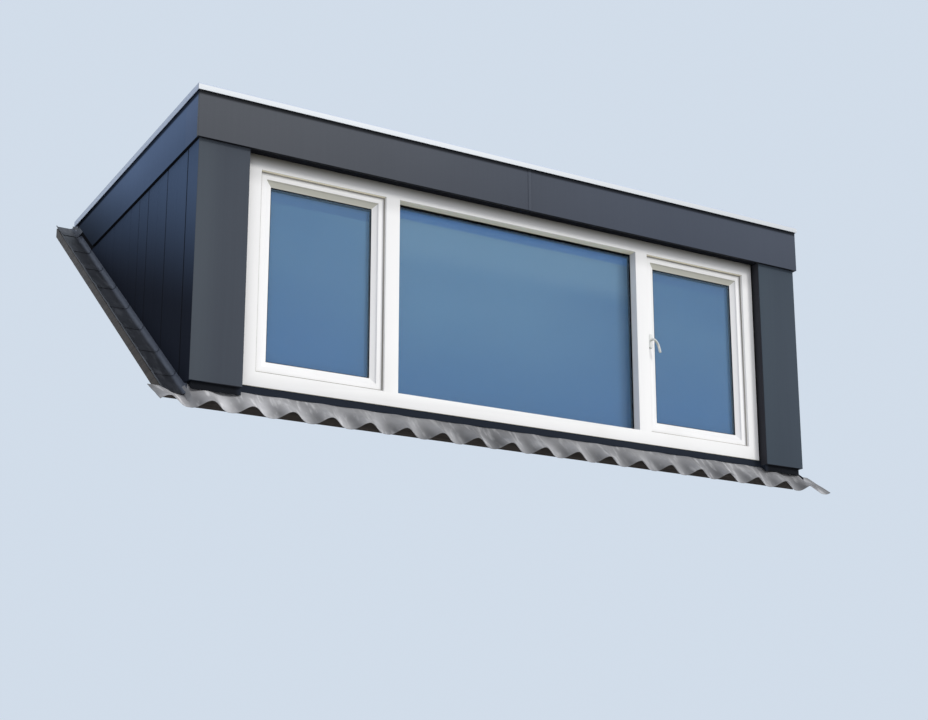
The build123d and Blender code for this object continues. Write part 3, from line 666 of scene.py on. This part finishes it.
# %% [markdown]
# ## Eased boards
# A perfectly sharp edge never catches the light, and on real boards and profiles a narrow round does.
# A solid's mesh may not be changed, but a copy of it may: the copy's loose triangles are merged,
# its flat faces are cleaned of needless edges, and then a bevel of a millimetre or two eases the arrises.

# %% Easing
MERGE_DISTANCE = 0.00002
FLAT_ANGLE = radians(0.5)
CORNER_ANGLE = radians(25)
BOARD_EASE = 0.0015


def clean(piece):
    """Merges a mesh's loose triangles and dissolves the edges within its flat faces."""
    open_faces(piece)
    bpy.ops.mesh.remove_doubles(threshold=MERGE_DISTANCE)
    bpy.ops.mesh.dissolve_limited(angle_limit=FLAT_ANGLE)
    object_mode()


def copied(node, name):
    """A clean copy of a solid's mesh, as a new piece."""
    piece = bpy.data.objects.new(name, nodes[node].data.copy())
    bpy.context.scene.collection.objects.link(piece)
    clean(piece)
    return piece


def ease(piece, width, segments=2):
    """Rounds every real corner of a piece."""
    modify(
        piece, "BEVEL", width=width, segments=segments, limit_method="ANGLE", angle_limit=CORNER_ANGLE
    )


def eased_copies(width, slot, material, *names):
    """Replaces solids of one finish by copies whose arrises are eased."""
    for node in names:
        piece = copied(node, node + "_eased")
        ease(piece, width)
        close(piece)
        dress(piece, material, slot, node)


# %% Boards
BOARDS = (
    (fascia_grey, "fascia_front_left", "fascia_front_right"),
    (fascia_side_grey, "fascia_side_left", "fascia_side_right"),
    (corner_left_grey, "corner_board_left"),
    (corner_right_grey, "corner_board_right"),
    (cheek_grey, "cheek_cladding_left", "cheek_cladding_right"),
    (soffit_painted_shade, "soffit_board"),
)
for board in BOARDS:
    eased_copies(BOARD_EASE, "anthracite_board", *board)
eased_copies(0.001, "base_strip", strip_grey, "base_strip")
print("kinds of board eased", len(BOARDS) + 1)

# %% [markdown]
# ## The welded frame
# The six parts of the window's outer frame are welded, so no joint shows where they meet.
# Eased one by one they would each get round ends and a groove at every joint,
# so their copies are united first, and the one piece that comes of it is eased.

# %% Welded outer frame
PROFILE_EASE = 0.002
FRAME_PARTS = (
    "frame_sill", "frame_head", "frame_jamb_left", "frame_jamb_right", "mullion_left", "mullion_right"
)


def welded_frame():
    whole, *others = [copied(node, node + "_weld") for node in FRAME_PARTS]
    whole.name = "welded_frame"
    for piece in others:
        modify(whole, "BOOLEAN", operation="UNION", solver="EXACT", object=piece)
        bpy.data.objects.remove(piece)
    clean(whole)
    ease(whole, PROFILE_EASE)
    close(whole)
    return dress(whole, frame_white, "white_frame", *FRAME_PARTS)


frame_piece = welded_frame()
print("frame faces", len(frame_piece.data.polygons))

# %% [markdown]
# The sashes, beads, gaskets, handle and trims need no weld. Each keeps its own solid's shape,
# and the finer the piece, the narrower its ease.

# %% Eased profiles and trims
PROFILES = (
    (PROFILE_EASE, "white_frame", sash_white, "sash_left", "sash_right"),
    (0.001, "white_frame", sash_white, "glazing_beads"),
    (0.0006, "gasket", gasket_black, "glazing_gaskets"),
    (0.0012, "handle_white", handle_white, "handle_plate", "handle_lever"),
    (0.001, "roof_trim", trim_white, "roof_trim_front"),
    (0.001, "roof_trim", trim_aluminium, "roof_trim_left", "roof_trim_right"),
)
for profile in PROFILES:
    eased_copies(*profile)
print("kinds of profile eased", len(PROFILES))

# %% [markdown]
# ## Timber and linings
# What carries the dormer shows from behind and from below. Sawn timber has soft arrises, and the window
# board and the roof covering are rounder still. Each board gets the finish whose grain runs its way.

# %% Eased timber and linings
TIMBER_EASE = 0.002
TIMBER = (
    (stained_across, "kerb_front"),
    (pine_across, "kerb_rear", "lintel_beam"),
    (pine_upslope, "kerb_left", "kerb_right"),
    (stained_upslope, "flashing_boards"),
    (pine_upright, "cheek_panel_left", "cheek_panel_right", "corner_piers"),
    (pine_depth, "roof_joists"),
)
SHEETS = (
    (0.001, "roof_board", plywood, "roof_deck"),
    (0.001, "lining", painted_plaster, "cheek_linings", "ceiling_lining"),
    (0.004, "window_board", board_white, "window_board"),
    (0.004, "membrane", roof_sheet, "roof_membrane"),
)
for timber in TIMBER:
    eased_copies(TIMBER_EASE, "timber", *timber)
for sheet in SHEETS:
    eased_copies(*sheet)
print("kinds of timber eased", len(TIMBER), "and of sheet", len(SHEETS))

# %% [markdown]
# ## Double glazing
# A sealed unit is two panes with a spacer bar between them. The outer pane is almost clear and the inner
# one shows blue, so the spacer's dark inner face shows along the far edges. True glass would show the
# empty room and the plain floor, so the daylight that it mirrors is painted on the inner pane instead:
# palest left of the middle, with a darker band and a painted glow along the top, and a painted shadow as a
# black rim under the rebate.

# %% Glass finishes
CENTRE_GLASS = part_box("glass_centre")[1]
SIDE_GLASS_TOP_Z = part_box("glass_left")[1].z
PALEST_X = -0.3
PALE_REACH = (0.3, 1.1)
BLUE_Z = (0.15, 0.95)
UPPER_BLUES = ((0.075, 0.182, 0.355), (0.130, 0.270, 0.425))
LOWER_BLUES = ((0.054, 0.158, 0.362), (0.062, 0.168, 0.352))
HAZE = (0.156, 0.297, 0.446)
HAZE_DEPTHS = (0.20, 0.36)
BAND_DEPTH = 0.088
BAND_BLUES = ((0.066, 0.162, 0.345), (0.076, 0.207, 0.476))
GLOW_DEPTHS = (0.035, 0.095)
RIM_DEPTH = 0.019
RIM_SHADOW = (0.012, 0.014, 0.018)
SMEAR = ((0.20, 0.35, 0.51), (0.30, 0.44, 0.58))


def mirrored_blue(glass, height):
    """Softly clouded, palest left of the middle and deeper low down."""
    aside = glass.node("Math", {"operation": "ABSOLUTE"}, {0: glass.axis("x") - PALEST_X})
    wisps = glass.ramp(glass.noise((0.6, 0.6, 1.5), 3), 0.35, 0.70)
    pale = wisps * 0.35 + (1 - glass.ramp(aside, *PALE_REACH)) * 0.65
    lower = glass.mix(pale, *LOWER_BLUES)
    return glass.mix(glass.ramp(height, *BLUE_Z), lower, glass.mix(pale, *UPPER_BLUES))


def inner_glass_finish():
    """The painted reflection with its haze and band, a painted glow and a painted shadow as the rim,
    measured down from the top of each light.
    """
    glass = Finish("glass_inner_blue", specular=0.4, roughness=0.04, alpha=0.95)
    height = glass.axis("z")
    aside = glass.ramp(glass.off_centre(), CENTRE_GLASS.x, CENTRE_GLASS.x + 0.01)
    middle = 1 - aside
    below_top = aside * (SIDE_GLASS_TOP_Z - CENTRE_GLASS.z) + CENTRE_GLASS.z - height
    haze = middle * (1 - glass.ramp(below_top, *HAZE_DEPTHS)) * 0.9
    hazy = glass.mix(haze, mirrored_blue(glass, height), HAZE)
    drift = glass.noise((0.9, 0.9, 0.9), 1) * 0.03
    band = 1 - glass.ramp(below_top + drift, BAND_DEPTH, BAND_DEPTH + 0.012)
    banded = glass.mix(band, hazy, glass.mix(middle, *BAND_BLUES))
    # Painted light: a glow that lifts the shade just under the top of the centre light.
    glow = middle * (1 - glass.ramp(below_top, *GLOW_DEPTHS)) * 0.55
    # Painted shadow: a black rim under the rebate.
    rim = 1 - glass.ramp(below_top, RIM_DEPTH, middle * 0.010 + RIM_DEPTH + 0.005)
    glowing = glass.scaled(banded, 1 + glow)
    glass.set("base_color", glass.mix(rim * 0.9, glowing, RIM_SHADOW))
    return glass.material


def outer_glass_finish():
    """Almost clear, with a faint painted blue reflection of the sky in soft smears."""
    glass = Finish("glass_outer_clear", specular=0.4, roughness=0.02, alpha=0.12)
    smear = glass.noise((2.2, 2.2, 1.1), 4)
    glass.set("base_color", glass.mix(smear * 0.6, *SMEAR))
    return glass.material


glass_inner_blue = inner_glass_finish()
glass_outer_clear = outer_glass_finish()
print("glass top", round(CENTRE_GLASS.z, 3), "and", round(SIDE_GLASS_TOP_Z, 3))

# %% [markdown]
# ## Plates and rings
# Each pane starts as a cube of its real size and gets its arrises ground off. Spacers and seals are rings.
# A ring could be cut out with a boolean, but the cleaner way is to inset the front and back faces of a cube
# and to bridge the two inner faces, which removes them and leaves square bars.

# %% Plates and rings
FACING = 0.9


def cube(name, low, high):
    """A box between two corners."""
    middle = [(a + b) / 2 for a, b in zip(low, high)]
    bpy.ops.mesh.primitive_cube_add(size=1, location=middle)
    piece = bpy.context.object
    piece.name = name
    piece.scale = [b - a for a, b in zip(low, high)]
    bpy.ops.object.transform_apply()
    return piece


def ring(name, low, high, width):
    """A box between two corners that is hollowed front to back, leaving bars of this width."""
    piece = cube(name, low, high)
    open_faces(piece, lambda face: abs(face.normal.y) > FACING)
    bpy.ops.mesh.inset(thickness=width, use_individual=True)
    bpy.ops.mesh.bridge_edge_loops()
    object_mode()
    return piece


# %% [markdown]
# The gasket that holds a pane ends in a thin black lip, pressed flat on the outer glass. It is the sharp
# dark line round the white of every light. On the fixed centre light, and most along its top, it is widened
# to stand in for the rebate's shade.

# %% Gasket lips
HIDDEN_EDGE = 0.012
LIP_THICK = 0.0008
LIP_SHOWS = {"left": (0.0025, 0.0025), "centre": (0.0065, 0.0125), "right": (0.0025, 0.0025)}


def glass_lip(node, low, high, show, top_show):
    """The lip on the outer pane, with how far it shows at the sides and below, and along the top."""
    width = HIDDEN_EDGE + show
    lip = ring(node + "_lip", (low.x, low.y - LIP_THICK, low.z), (high.x, low.y, high.z), width)
    # Widening the lip along the top puts a dark piece where the rebate throws its shade.
    for vertex in lip.data.vertices:
        if high.z - width - 0.001 < vertex.co.z < high.z - 0.001:
            vertex.co.z -= top_show - show
    close(lip)
    return dress(lip, lip_black, "gasket")


# %% Panes and spacers
PANE_THICK = 0.004
PANE_EASE = 0.0006
SPACER_WIDTH = 0.0135


def glaze(side):
    """The two panes, the spacer and the gasket's lip of one light."""
    node = "glass_" + side
    low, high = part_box(node)
    outer_back = low.y + PANE_THICK
    inner_front = high.y - PANE_THICK
    outer = cube(node + "_outer_pane", low, (high.x, outer_back, high.z))
    inner = cube(node + "_inner_pane", (low.x, inner_front, low.z), high)
    corners = ((low.x, outer_back, low.z), (high.x, inner_front, high.z))
    spacer = ring(node + "_spacer", *corners, SPACER_WIDTH)
    panes = ((outer, glass_outer_clear, "glass"), (inner, glass_inner_blue, "glass"))
    for piece, material, slot in (*panes, (spacer, spacer_dark, "gasket")):
        ease(piece, PANE_EASE, 1)
        close(piece)
        dress(piece, material, slot, node)
    glass_lip(node, low, high, *LIP_SHOWS[side])


for side in LIP_SHOWS:
    glaze(side)
print("panes glazed", len(LIP_SHOWS))

# %% [markdown]
# ## Weather seals
# An opening sash never touches its frame. A grey rubber lip on the frame bridges the gap between them and
# lies a few millimetres over the sash's face. From afar it reads as the fine line round each sash.

# %% Weather seals
SASH_GAP = 0.005
SEAL_OVERLAP = 0.003
SEAL_THICK = 0.0024
SEAL_EASE = 0.0007


def weather_seal(side):
    low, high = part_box("sash_" + side)
    outer_low = (low.x - SASH_GAP, low.y - SEAL_THICK, low.z - SASH_GAP)
    outer_high = (high.x + SASH_GAP, low.y, high.z + SASH_GAP)
    seal = ring("weather_seal_" + side, outer_low, outer_high, SASH_GAP + SEAL_OVERLAP)
    ease(seal, SEAL_EASE)
    close(seal)
    return dress(seal, seal_grey, "gasket")


for side in ("left", "right"):
    weather_seal(side)
print("seals fitted")

# %% [markdown]
# ## The lead apron
# Under the window a strip of lead is folded straight against the kerb and then dressed, with a wooden
# tool, over the slope, so that its lower edge takes the slope's waves. It could be cut from a block with
# booleans, but a sheet is better made as a sheet: a flat grid whose points are carried to their place by a
# rule, thickened at the end. Beside the dormer the same sheet drops to the level of the side trays.

# %% Places on the slope
BUILD_UP = 0.095
WAVE_DEPTH = 0.052
CREST_SHARPNESS = 1.4


def on_roof(x, run, height):
    """A point from its place along the front, its distance up the slope and its height over the crests."""
    raised = BUILD_UP + height
    y = run * cos(ROOF_PITCH) - raised * sin(ROOF_PITCH)
    z = run * sin(ROOF_PITCH) + raised * cos(ROOF_PITCH)
    return Vector((x, y, z))


def wave_dip(x):
    """How far the slope's waves dip below their crests, which are narrower than the hollows."""
    crest = (1 + cos(2 * pi * (x - WAVE_CREST_X) / WAVE_PITCH)) / 2
    return -WAVE_DEPTH * (1 - crest ** CREST_SHARPNESS)


def blend(first, second, share):
    return first + (second - first) * share


# %% Apron sheet
LEAD_THICK = 0.003
APRON_REACH = 2.148
APRON_EDGE_RUN = -0.1821
APRON_FOLD_RUN = 0.0088
EAR_TOP_RUN = 0.0599
EAR_TOP_HEIGHT = -0.050
PANEL_FACE = 1.967
APRON_COLUMNS = 330
APRON_ROWS = 14
DENT_DEPTH = 0.0022
DRESSED_ANGLE = radians(50)


def ear_height(x, run):
    """The apron's height beside the dormer, from the side tray's level down into the waves."""
    return blend(EAR_TOP_HEIGHT, wave_dip(x), (EAR_TOP_RUN - run) / (EAR_TOP_RUN - APRON_EDGE_RUN))


def apron_rule(column, row):
    """A point of the apron, from its straight top edge (row 0) down to its wavy lower edge."""
    x = blend(-APRON_REACH, APRON_REACH, column / APRON_COLUMNS)
    share = row / APRON_ROWS
    beside = abs(x) > PANEL_FACE
    run = blend(EAR_TOP_RUN if beside else APRON_FOLD_RUN, APRON_EDGE_RUN, share)
    height = ear_height(x, run) if beside else wave_dip(x) * share
    dent = noise.noise(Vector((x * 9, run * 14, 0.3))) * DENT_DEPTH * min(1, 3 * share)
    return on_roof(x, run, height + dent * (1 - share ** 6))


def grid(name, columns, rows, rule):
    """A sheet whose points a rule places by their column and row."""
    bpy.ops.object.select_all(action="DESELECT")
    bpy.ops.mesh.primitive_grid_add(x_subdivisions=columns, y_subdivisions=rows, size=2)
    piece = bpy.context.object
    piece.name = name
    for vertex in piece.data.vertices:
        column = round((vertex.co.x + 1) / 2 * columns)
        row = round((1 - vertex.co.y) / 2 * rows)
        vertex.co = rule(column, row)
    piece.data.update()
    return piece


apron = grid("lead_apron_sheet", APRON_COLUMNS, APRON_ROWS, apron_rule)
modify(apron, "SOLIDIFY", thickness=LEAD_THICK, offset=1)
close(apron, DRESSED_ANGLE)
dress(apron, lead_apron_grey, "lead", "lead_apron")
print("apron points", len(apron.data.vertices))

# %% [markdown]
# ## The side lead
# Up each cheek runs a tray of lead in short lengths, each lapped over the one below. In section it stands
# up behind the cladding, turns through a cove, lies flat and ends in a small welt that keeps the water in.
# Each length is its own grid across that section, raised at its foot where it lies on the length below.

# %% Section of the side lead
SECTION_STEPS = 22
UPSTAND_TOP = 0.044
TRAY_FLOOR = -0.047
COVE_RADIUS = 0.026
TRAY_WIDTH = 0.116
WELT_RISE = 0.009
KERB_TOP = -0.025


def tray_section(share, upstand):
    """Place and outward normal of a point on the section, from the upstand's top to the welt."""
    cove_length = COVE_RADIUS * pi / 2
    straight = upstand - TRAY_FLOOR - COVE_RADIUS
    flat = TRAY_WIDTH - COVE_RADIUS
    along = share * (straight + cove_length + flat + WELT_RISE)
    if along < straight:
        return Vector((0, upstand - along)), Vector((1, 0))
    along -= straight
    if along < cove_length:
        turn = pi + along / COVE_RADIUS
        arm = Vector((cos(turn), sin(turn)))
        return Vector((COVE_RADIUS, TRAY_FLOOR + COVE_RADIUS)) + arm * COVE_RADIUS, -arm
    along -= cove_length
    if along < flat:
        return Vector((COVE_RADIUS + along, TRAY_FLOOR)), Vector((0, 1))
    return Vector((TRAY_WIDTH, TRAY_FLOOR + along - flat)), Vector((-0.7, 0.7))


# %% One length of side lead
SHEET_THICK = 0.0025
SHEET_STEPS = 16
LAP = 0.045
FOOT_Y = -0.054
FOOT_SLANT = 1.55
FOOT_SLANT_START = 0.087
ROOF_EDGE_RUN = 2.54
CREASE_DEPTH = 0.0016


def foot_run(point):
    """Where the lowest length starts at a point of the section, so that its foot is cut plumb."""
    plumb = (FOOT_Y + (BUILD_UP + point.y) * sin(ROOF_PITCH)) / cos(ROOF_PITCH)
    return plumb + max(0, point.x - FOOT_SLANT_START) * FOOT_SLANT


def lap_lift(run, start):
    """How far a length is raised where it lies on the one below, running out over a second lap."""
    return SHEET_THICK * 1.3 * max(0, 1 - max(0, run - start - LAP) / LAP)


def lead_length(side, start, end):
    """One length of side lead between two runs, left (-1) or right (1); a start of 0 is the foot."""

    def rule(column, row):
        share = column / SHEET_STEPS
        across = row / SECTION_STEPS
        point, normal = tray_section(across, UPSTAND_TOP)
        run = blend(start or foot_run(point), end, share)
        if run > ROOF_EDGE_RUN:
            point, normal = tray_section(across, KERB_TOP)
        lift = lap_lift(run, start) if start else 0
        crease = noise.noise(Vector((point.x * 30 + side, run * 11, point.y * 20))) * CREASE_DEPTH
        place = point + normal * (lift + crease + SHEET_THICK)
        x = side * (PANEL_FACE + place.x)
        height = place.y
        if run < EAR_TOP_RUN and point.y < 0:
            height = max(height, ear_height(x, run) + LEAD_THICK + 0.001)
        return on_roof(x, run, height)

    piece = grid("lead_length", SHEET_STEPS, SECTION_STEPS, rule)
    open_faces(piece)
    bpy.ops.mesh.normals_make_consistent(inside=False)
    object_mode()
    return piece


# %% All lengths of side lead
SHEET_LENGTH = 0.340
FIRST_LAP_RUN = 0.205
LAP_COUNT = 8
HEAD_RUN = 2.770


def flip(piece):
    """Turns a piece's faces the other way."""
    open_faces(piece)
    bpy.ops.mesh.flip_normals()
    object_mode()


def side_lead(word, side):
    """All lengths on one side, from the foot and from every lap upwards, joined as one piece."""
    starts = [0] + [FIRST_LAP_RUN + SHEET_LENGTH * number for number in range(LAP_COUNT)]
    ends = [start + LAP for start in starts[1:]] + [HEAD_RUN]
    piece, *others = [lead_length(side, start, end) for start, end in zip(starts, ends)]
    only(piece)
    for other in others:
        other.select_set(True)
    bpy.ops.object.join()
    piece.name = f"lead_gutter_{word}"
    if side > 0:
        flip(piece)
    modify(piece, "SOLIDIFY", thickness=SHEET_THICK, offset=-1)
    close(piece, DRESSED_ANGLE)
    return dress(piece, lead_side_grey, "lead", f"lead_flashing_{word}")


for word, side in (("left", -1), ("right", 1)):
    piece = side_lead(word, side)
    print(piece.name, "points", len(piece.data.vertices))

# %% [markdown]
# ## Rear corners
# Where a side trim stops at the slope, its hollow end would let water in and the roof deck's edge would
# lie bare. A pressed cap closes the trim, the roof sheet's edge is turned up under it, and a flap of lead is
# dressed from the roof sheet over the deck's edge. The flap is a grid again: its first rows lie on the roof
# and the others hang down the side. All three are made for the right side and mirrored for the left.

# %% Corner flaps
FLAP_COLUMNS = 14
FLAP_ROWS = 12
FLANGE_ROWS = 5
FLANGE_INSIDE_X = 1.925
DECK_EDGE_X = 1.9855
DECK_LOW, DECK_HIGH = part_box("roof_deck")
FLAP_FOOT_Z = DECK_LOW.z - 0.018
ROOF_SHEET_Z = DECK_HIGH.z + 0.0222
FLAP_END_Y = 2.120
FLAP_TOP_HEIGHT = -0.0185
FLAP_FOOT_HEIGHT = -0.040
FLAP_CREASE = 0.0012
FLAP_THICK = 0.002


def slope_level(y, height):
    """The z of a place at this height over the crests."""
    return (y * sin(ROOF_PITCH) + BUILD_UP + height) / cos(ROOF_PITCH)


def flap_rule(column, row):
    across = min(1, row / FLANGE_ROWS)
    drop = max(0, (row - FLANGE_ROWS) / (FLAP_ROWS - FLANGE_ROWS))
    level = blend(ROOF_SHEET_Z, FLAP_FOOT_Z, drop)
    cut_y = FASCIA_END.y + 0.003 - (FASCIA_END.z - level) / sin(ROOF_PITCH) * cos(ROOF_PITCH)
    y = blend(cut_y, FLAP_END_Y, column / FLAP_COLUMNS)
    top = max(ROOF_SHEET_Z, slope_level(y, FLAP_TOP_HEIGHT))
    foot = max(FLAP_FOOT_Z, slope_level(y, FLAP_FOOT_HEIGHT))
    crease = noise.noise(Vector((across * 3 + drop, y * 40, 0.7))) * FLAP_CREASE
    x = blend(FLANGE_INSIDE_X, DECK_EDGE_X, across) + drop * 0.001
    return Vector((x + crease * drop, y, blend(top, foot, drop) + abs(crease) * (1 - drop)))


def corner_flap(name):
    flap = grid(name, FLAP_COLUMNS, FLAP_ROWS, flap_rule)
    modify(flap, "SOLIDIFY", thickness=FLAP_THICK, offset=1)
    return flap


# %% Trim caps and corner stops
TRIM_LOW, TRIM_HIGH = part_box("roof_trim_right")
CAP_THICK = 0.0015
CAP_RIM = 0.004
CAP_PRESS = 0.0007
CAP_EASE = 0.0003
STOP_THICK = 0.0085
STOP_EASE = 0.001


def trim_cap(name):
    """A thin plate over the trim's end, pressed in slightly within its edge."""
    low = (TRIM_LOW.x, TRIM_HIGH.y, TRIM_LOW.z)
    cap = cube(name, low, (TRIM_HIGH.x, TRIM_HIGH.y + CAP_THICK, TRIM_HIGH.z))
    open_faces(cap, lambda face: face.normal.y > FACING)
    bpy.ops.mesh.inset(thickness=CAP_RIM, depth=-CAP_PRESS)
    object_mode()
    ease(cap, CAP_EASE, 1)
    return cap


def corner_stop(name):
    """The roof sheet's turned-up edge, carried on under the trim's end where a hole would be left."""
    start = FASCIA_END.y - (FASCIA_END.z - ROOF_SHEET_Z) / tan(ROOF_PITCH) - 0.004
    outside = DECK_EDGE_X + 0.001
    low = (outside - STOP_THICK, start, ROOF_SHEET_Z - 0.001)
    stop = cube(name, low, (outside, FASCIA_END.y - 0.0005, FASCIA_END.z - 0.0005))
    ease(stop, STOP_EASE)
    return stop


# %% Rear corners
def mirrored(piece):
    """Mirrors a piece to the left side, and turns its faces outwards again."""
    open_faces(piece)
    bpy.ops.transform.resize(value=(-1, 1, 1), center_override=(0, 0, 0))
    bpy.ops.mesh.flip_normals()
    object_mode()


CORNER_PIECES = (
    ("corner_flap", corner_flap, lead_side_grey, "lead"),
    ("trim_cap", trim_cap, trim_aluminium, "roof_trim"),
    ("corner_stop", corner_stop, roof_sheet, "membrane"),
)
for word in ("left", "right"):
    for name, make, material, slot in CORNER_PIECES:
        piece = make(f"{name}_{word}")
        if word == "left":
            mirrored(piece)
        close(piece, DRESSED_ANGLE)
        dress(piece, material, slot)
print("rear corners closed with", 2 * len(CORNER_PIECES), "pieces")

# %% [markdown]
# ## Laps in the roof covering
# The flat roof is covered with rubber sheet that comes in rolls of about a metre.
# Each seam is a double thickness, a hand's width across, and shows as a low ridge.
# A ridge could be painted as bump alone, but from the side it has to have a real edge.

# %% Roof laps
LAP_WIDTH = 0.06
LAP_RISE = 0.003
LAP_EASE = 0.0012
LAP_FRONT_Y = DECK_LOW.y + 0.01
LAP_REAR_Y = 2.05
LAP_FOOT_Z = DECK_HIGH.z + 0.022
ROLL_WIDTH = 0.98

for number in (1, 2, 3):
    x = (number - 2) * ROLL_WIDTH
    front = (x - LAP_WIDTH / 2, LAP_FRONT_Y, LAP_FOOT_Z)
    rear = (x + LAP_WIDTH / 2, LAP_REAR_Y, LAP_FOOT_Z + LAP_RISE)
    lap = cube(f"roof_lap_{number}", front, rear)
    ease(lap, LAP_EASE)
    close(lap)
    dress(lap, roof_sheet, "membrane")
print("laps welded at", round(LAP_FOOT_Z, 3))

# %% [markdown]
# ## Light, floor and background
# Soft daylight comes from above and a low sun from the front right, so the left cheek stays in shade and
# the fascia throws a soft shadow on the head of the window. What the camera sees behind the dormer is a
# paler blue than the light that falls on it, and one rule on the kind of ray tells the two apart.
# The sun is kept out of reflections, because its round disc would stand in the glass.

# %% World and sun
DAYLIGHT = (0.70, 0.71, 0.74)
BACKDROP = (0.64, 0.72, 0.82)
SUN_HEIGHT = radians(32)
SUN_SIDE = radians(40)
SUN_ENERGY = 1.56
SUN_ANGLE = radians(12)
SUN_COLOUR = (1.0, 0.98, 0.94)


def seen(tree):
    """1 or more for rays that the camera sees, straight, mirrored or through glass, and 0 for lighting."""
    rays = [
        tree.node("LightPath", {}, {}, output=f"Is {kind} Ray")
        for kind in ("Camera", "Glossy", "Transmission")
    ]
    return rays[0] + rays[1] + rays[2]


world = bpy.data.worlds.new("pale_day")
world.use_nodes = True
bpy.context.scene.world = world
day = Tree(world.node_tree)
background = world.node_tree.nodes["Background"]
day.feed(background.inputs["Color"], day.mix(seen(day), DAYLIGHT, BACKDROP))

bpy.ops.object.light_add(type="SUN", rotation=(pi / 2 - SUN_HEIGHT, 0, SUN_SIDE))
sun = bpy.context.object
sun.data.energy = SUN_ENERGY
sun.data.angle = SUN_ANGLE
sun.data.color = SUN_COLOUR
sun.visible_glossy = False

bpy.context.scene.view_settings.view_transform = "Standard"
print("sun", sun.data.energy)

# %% [markdown]
# A dormer is looked at from below, so the floor lies well under it. It is pale near the dormer, where the
# shadow falls, and fades to the background's colour far away, so that no horizon line cuts the picture.

# %% Floor
FLOOR_Z = -2.6
FLOOR_SIZE = 160.0
FLOOR_COLOUR = (0.72, 0.73, 0.745, 1)
FLOOR_FADE = (9.0, 34.0)


def floor_finish():
    pale = Finish("pale_floor", roughness=0.9, specular=0.1)
    pale.set("base_color", FLOOR_COLOUR)
    distance = pale.node("VectorMath", {"operation": "LENGTH"}, {0: pale.place}, output="Value")
    haze_colour = pale.mix(seen(pale), DAYLIGHT, BACKDROP)
    haze = pale.node("Emission", {}, {"Color": haze_colour, "Strength": 1.0})
    far = pale.ramp(distance, *FLOOR_FADE)
    mixed = pale.node("MixShader", {}, {0: far, 1: Value(pale, pale.shader.outputs[0]), 2: haze})
    pale.feed(pale.tree.nodes["Material Output"].inputs["Surface"], mixed)
    return pale.material


bpy.ops.mesh.primitive_plane_add(size=FLOOR_SIZE, location=(0, 0, FLOOR_Z))
floor = bpy.context.object
floor.name = "floor"
bpy.ops.object.transform_apply(location=True)
floor.data.materials.append(floor_finish())
print("floor at", FLOOR_Z)
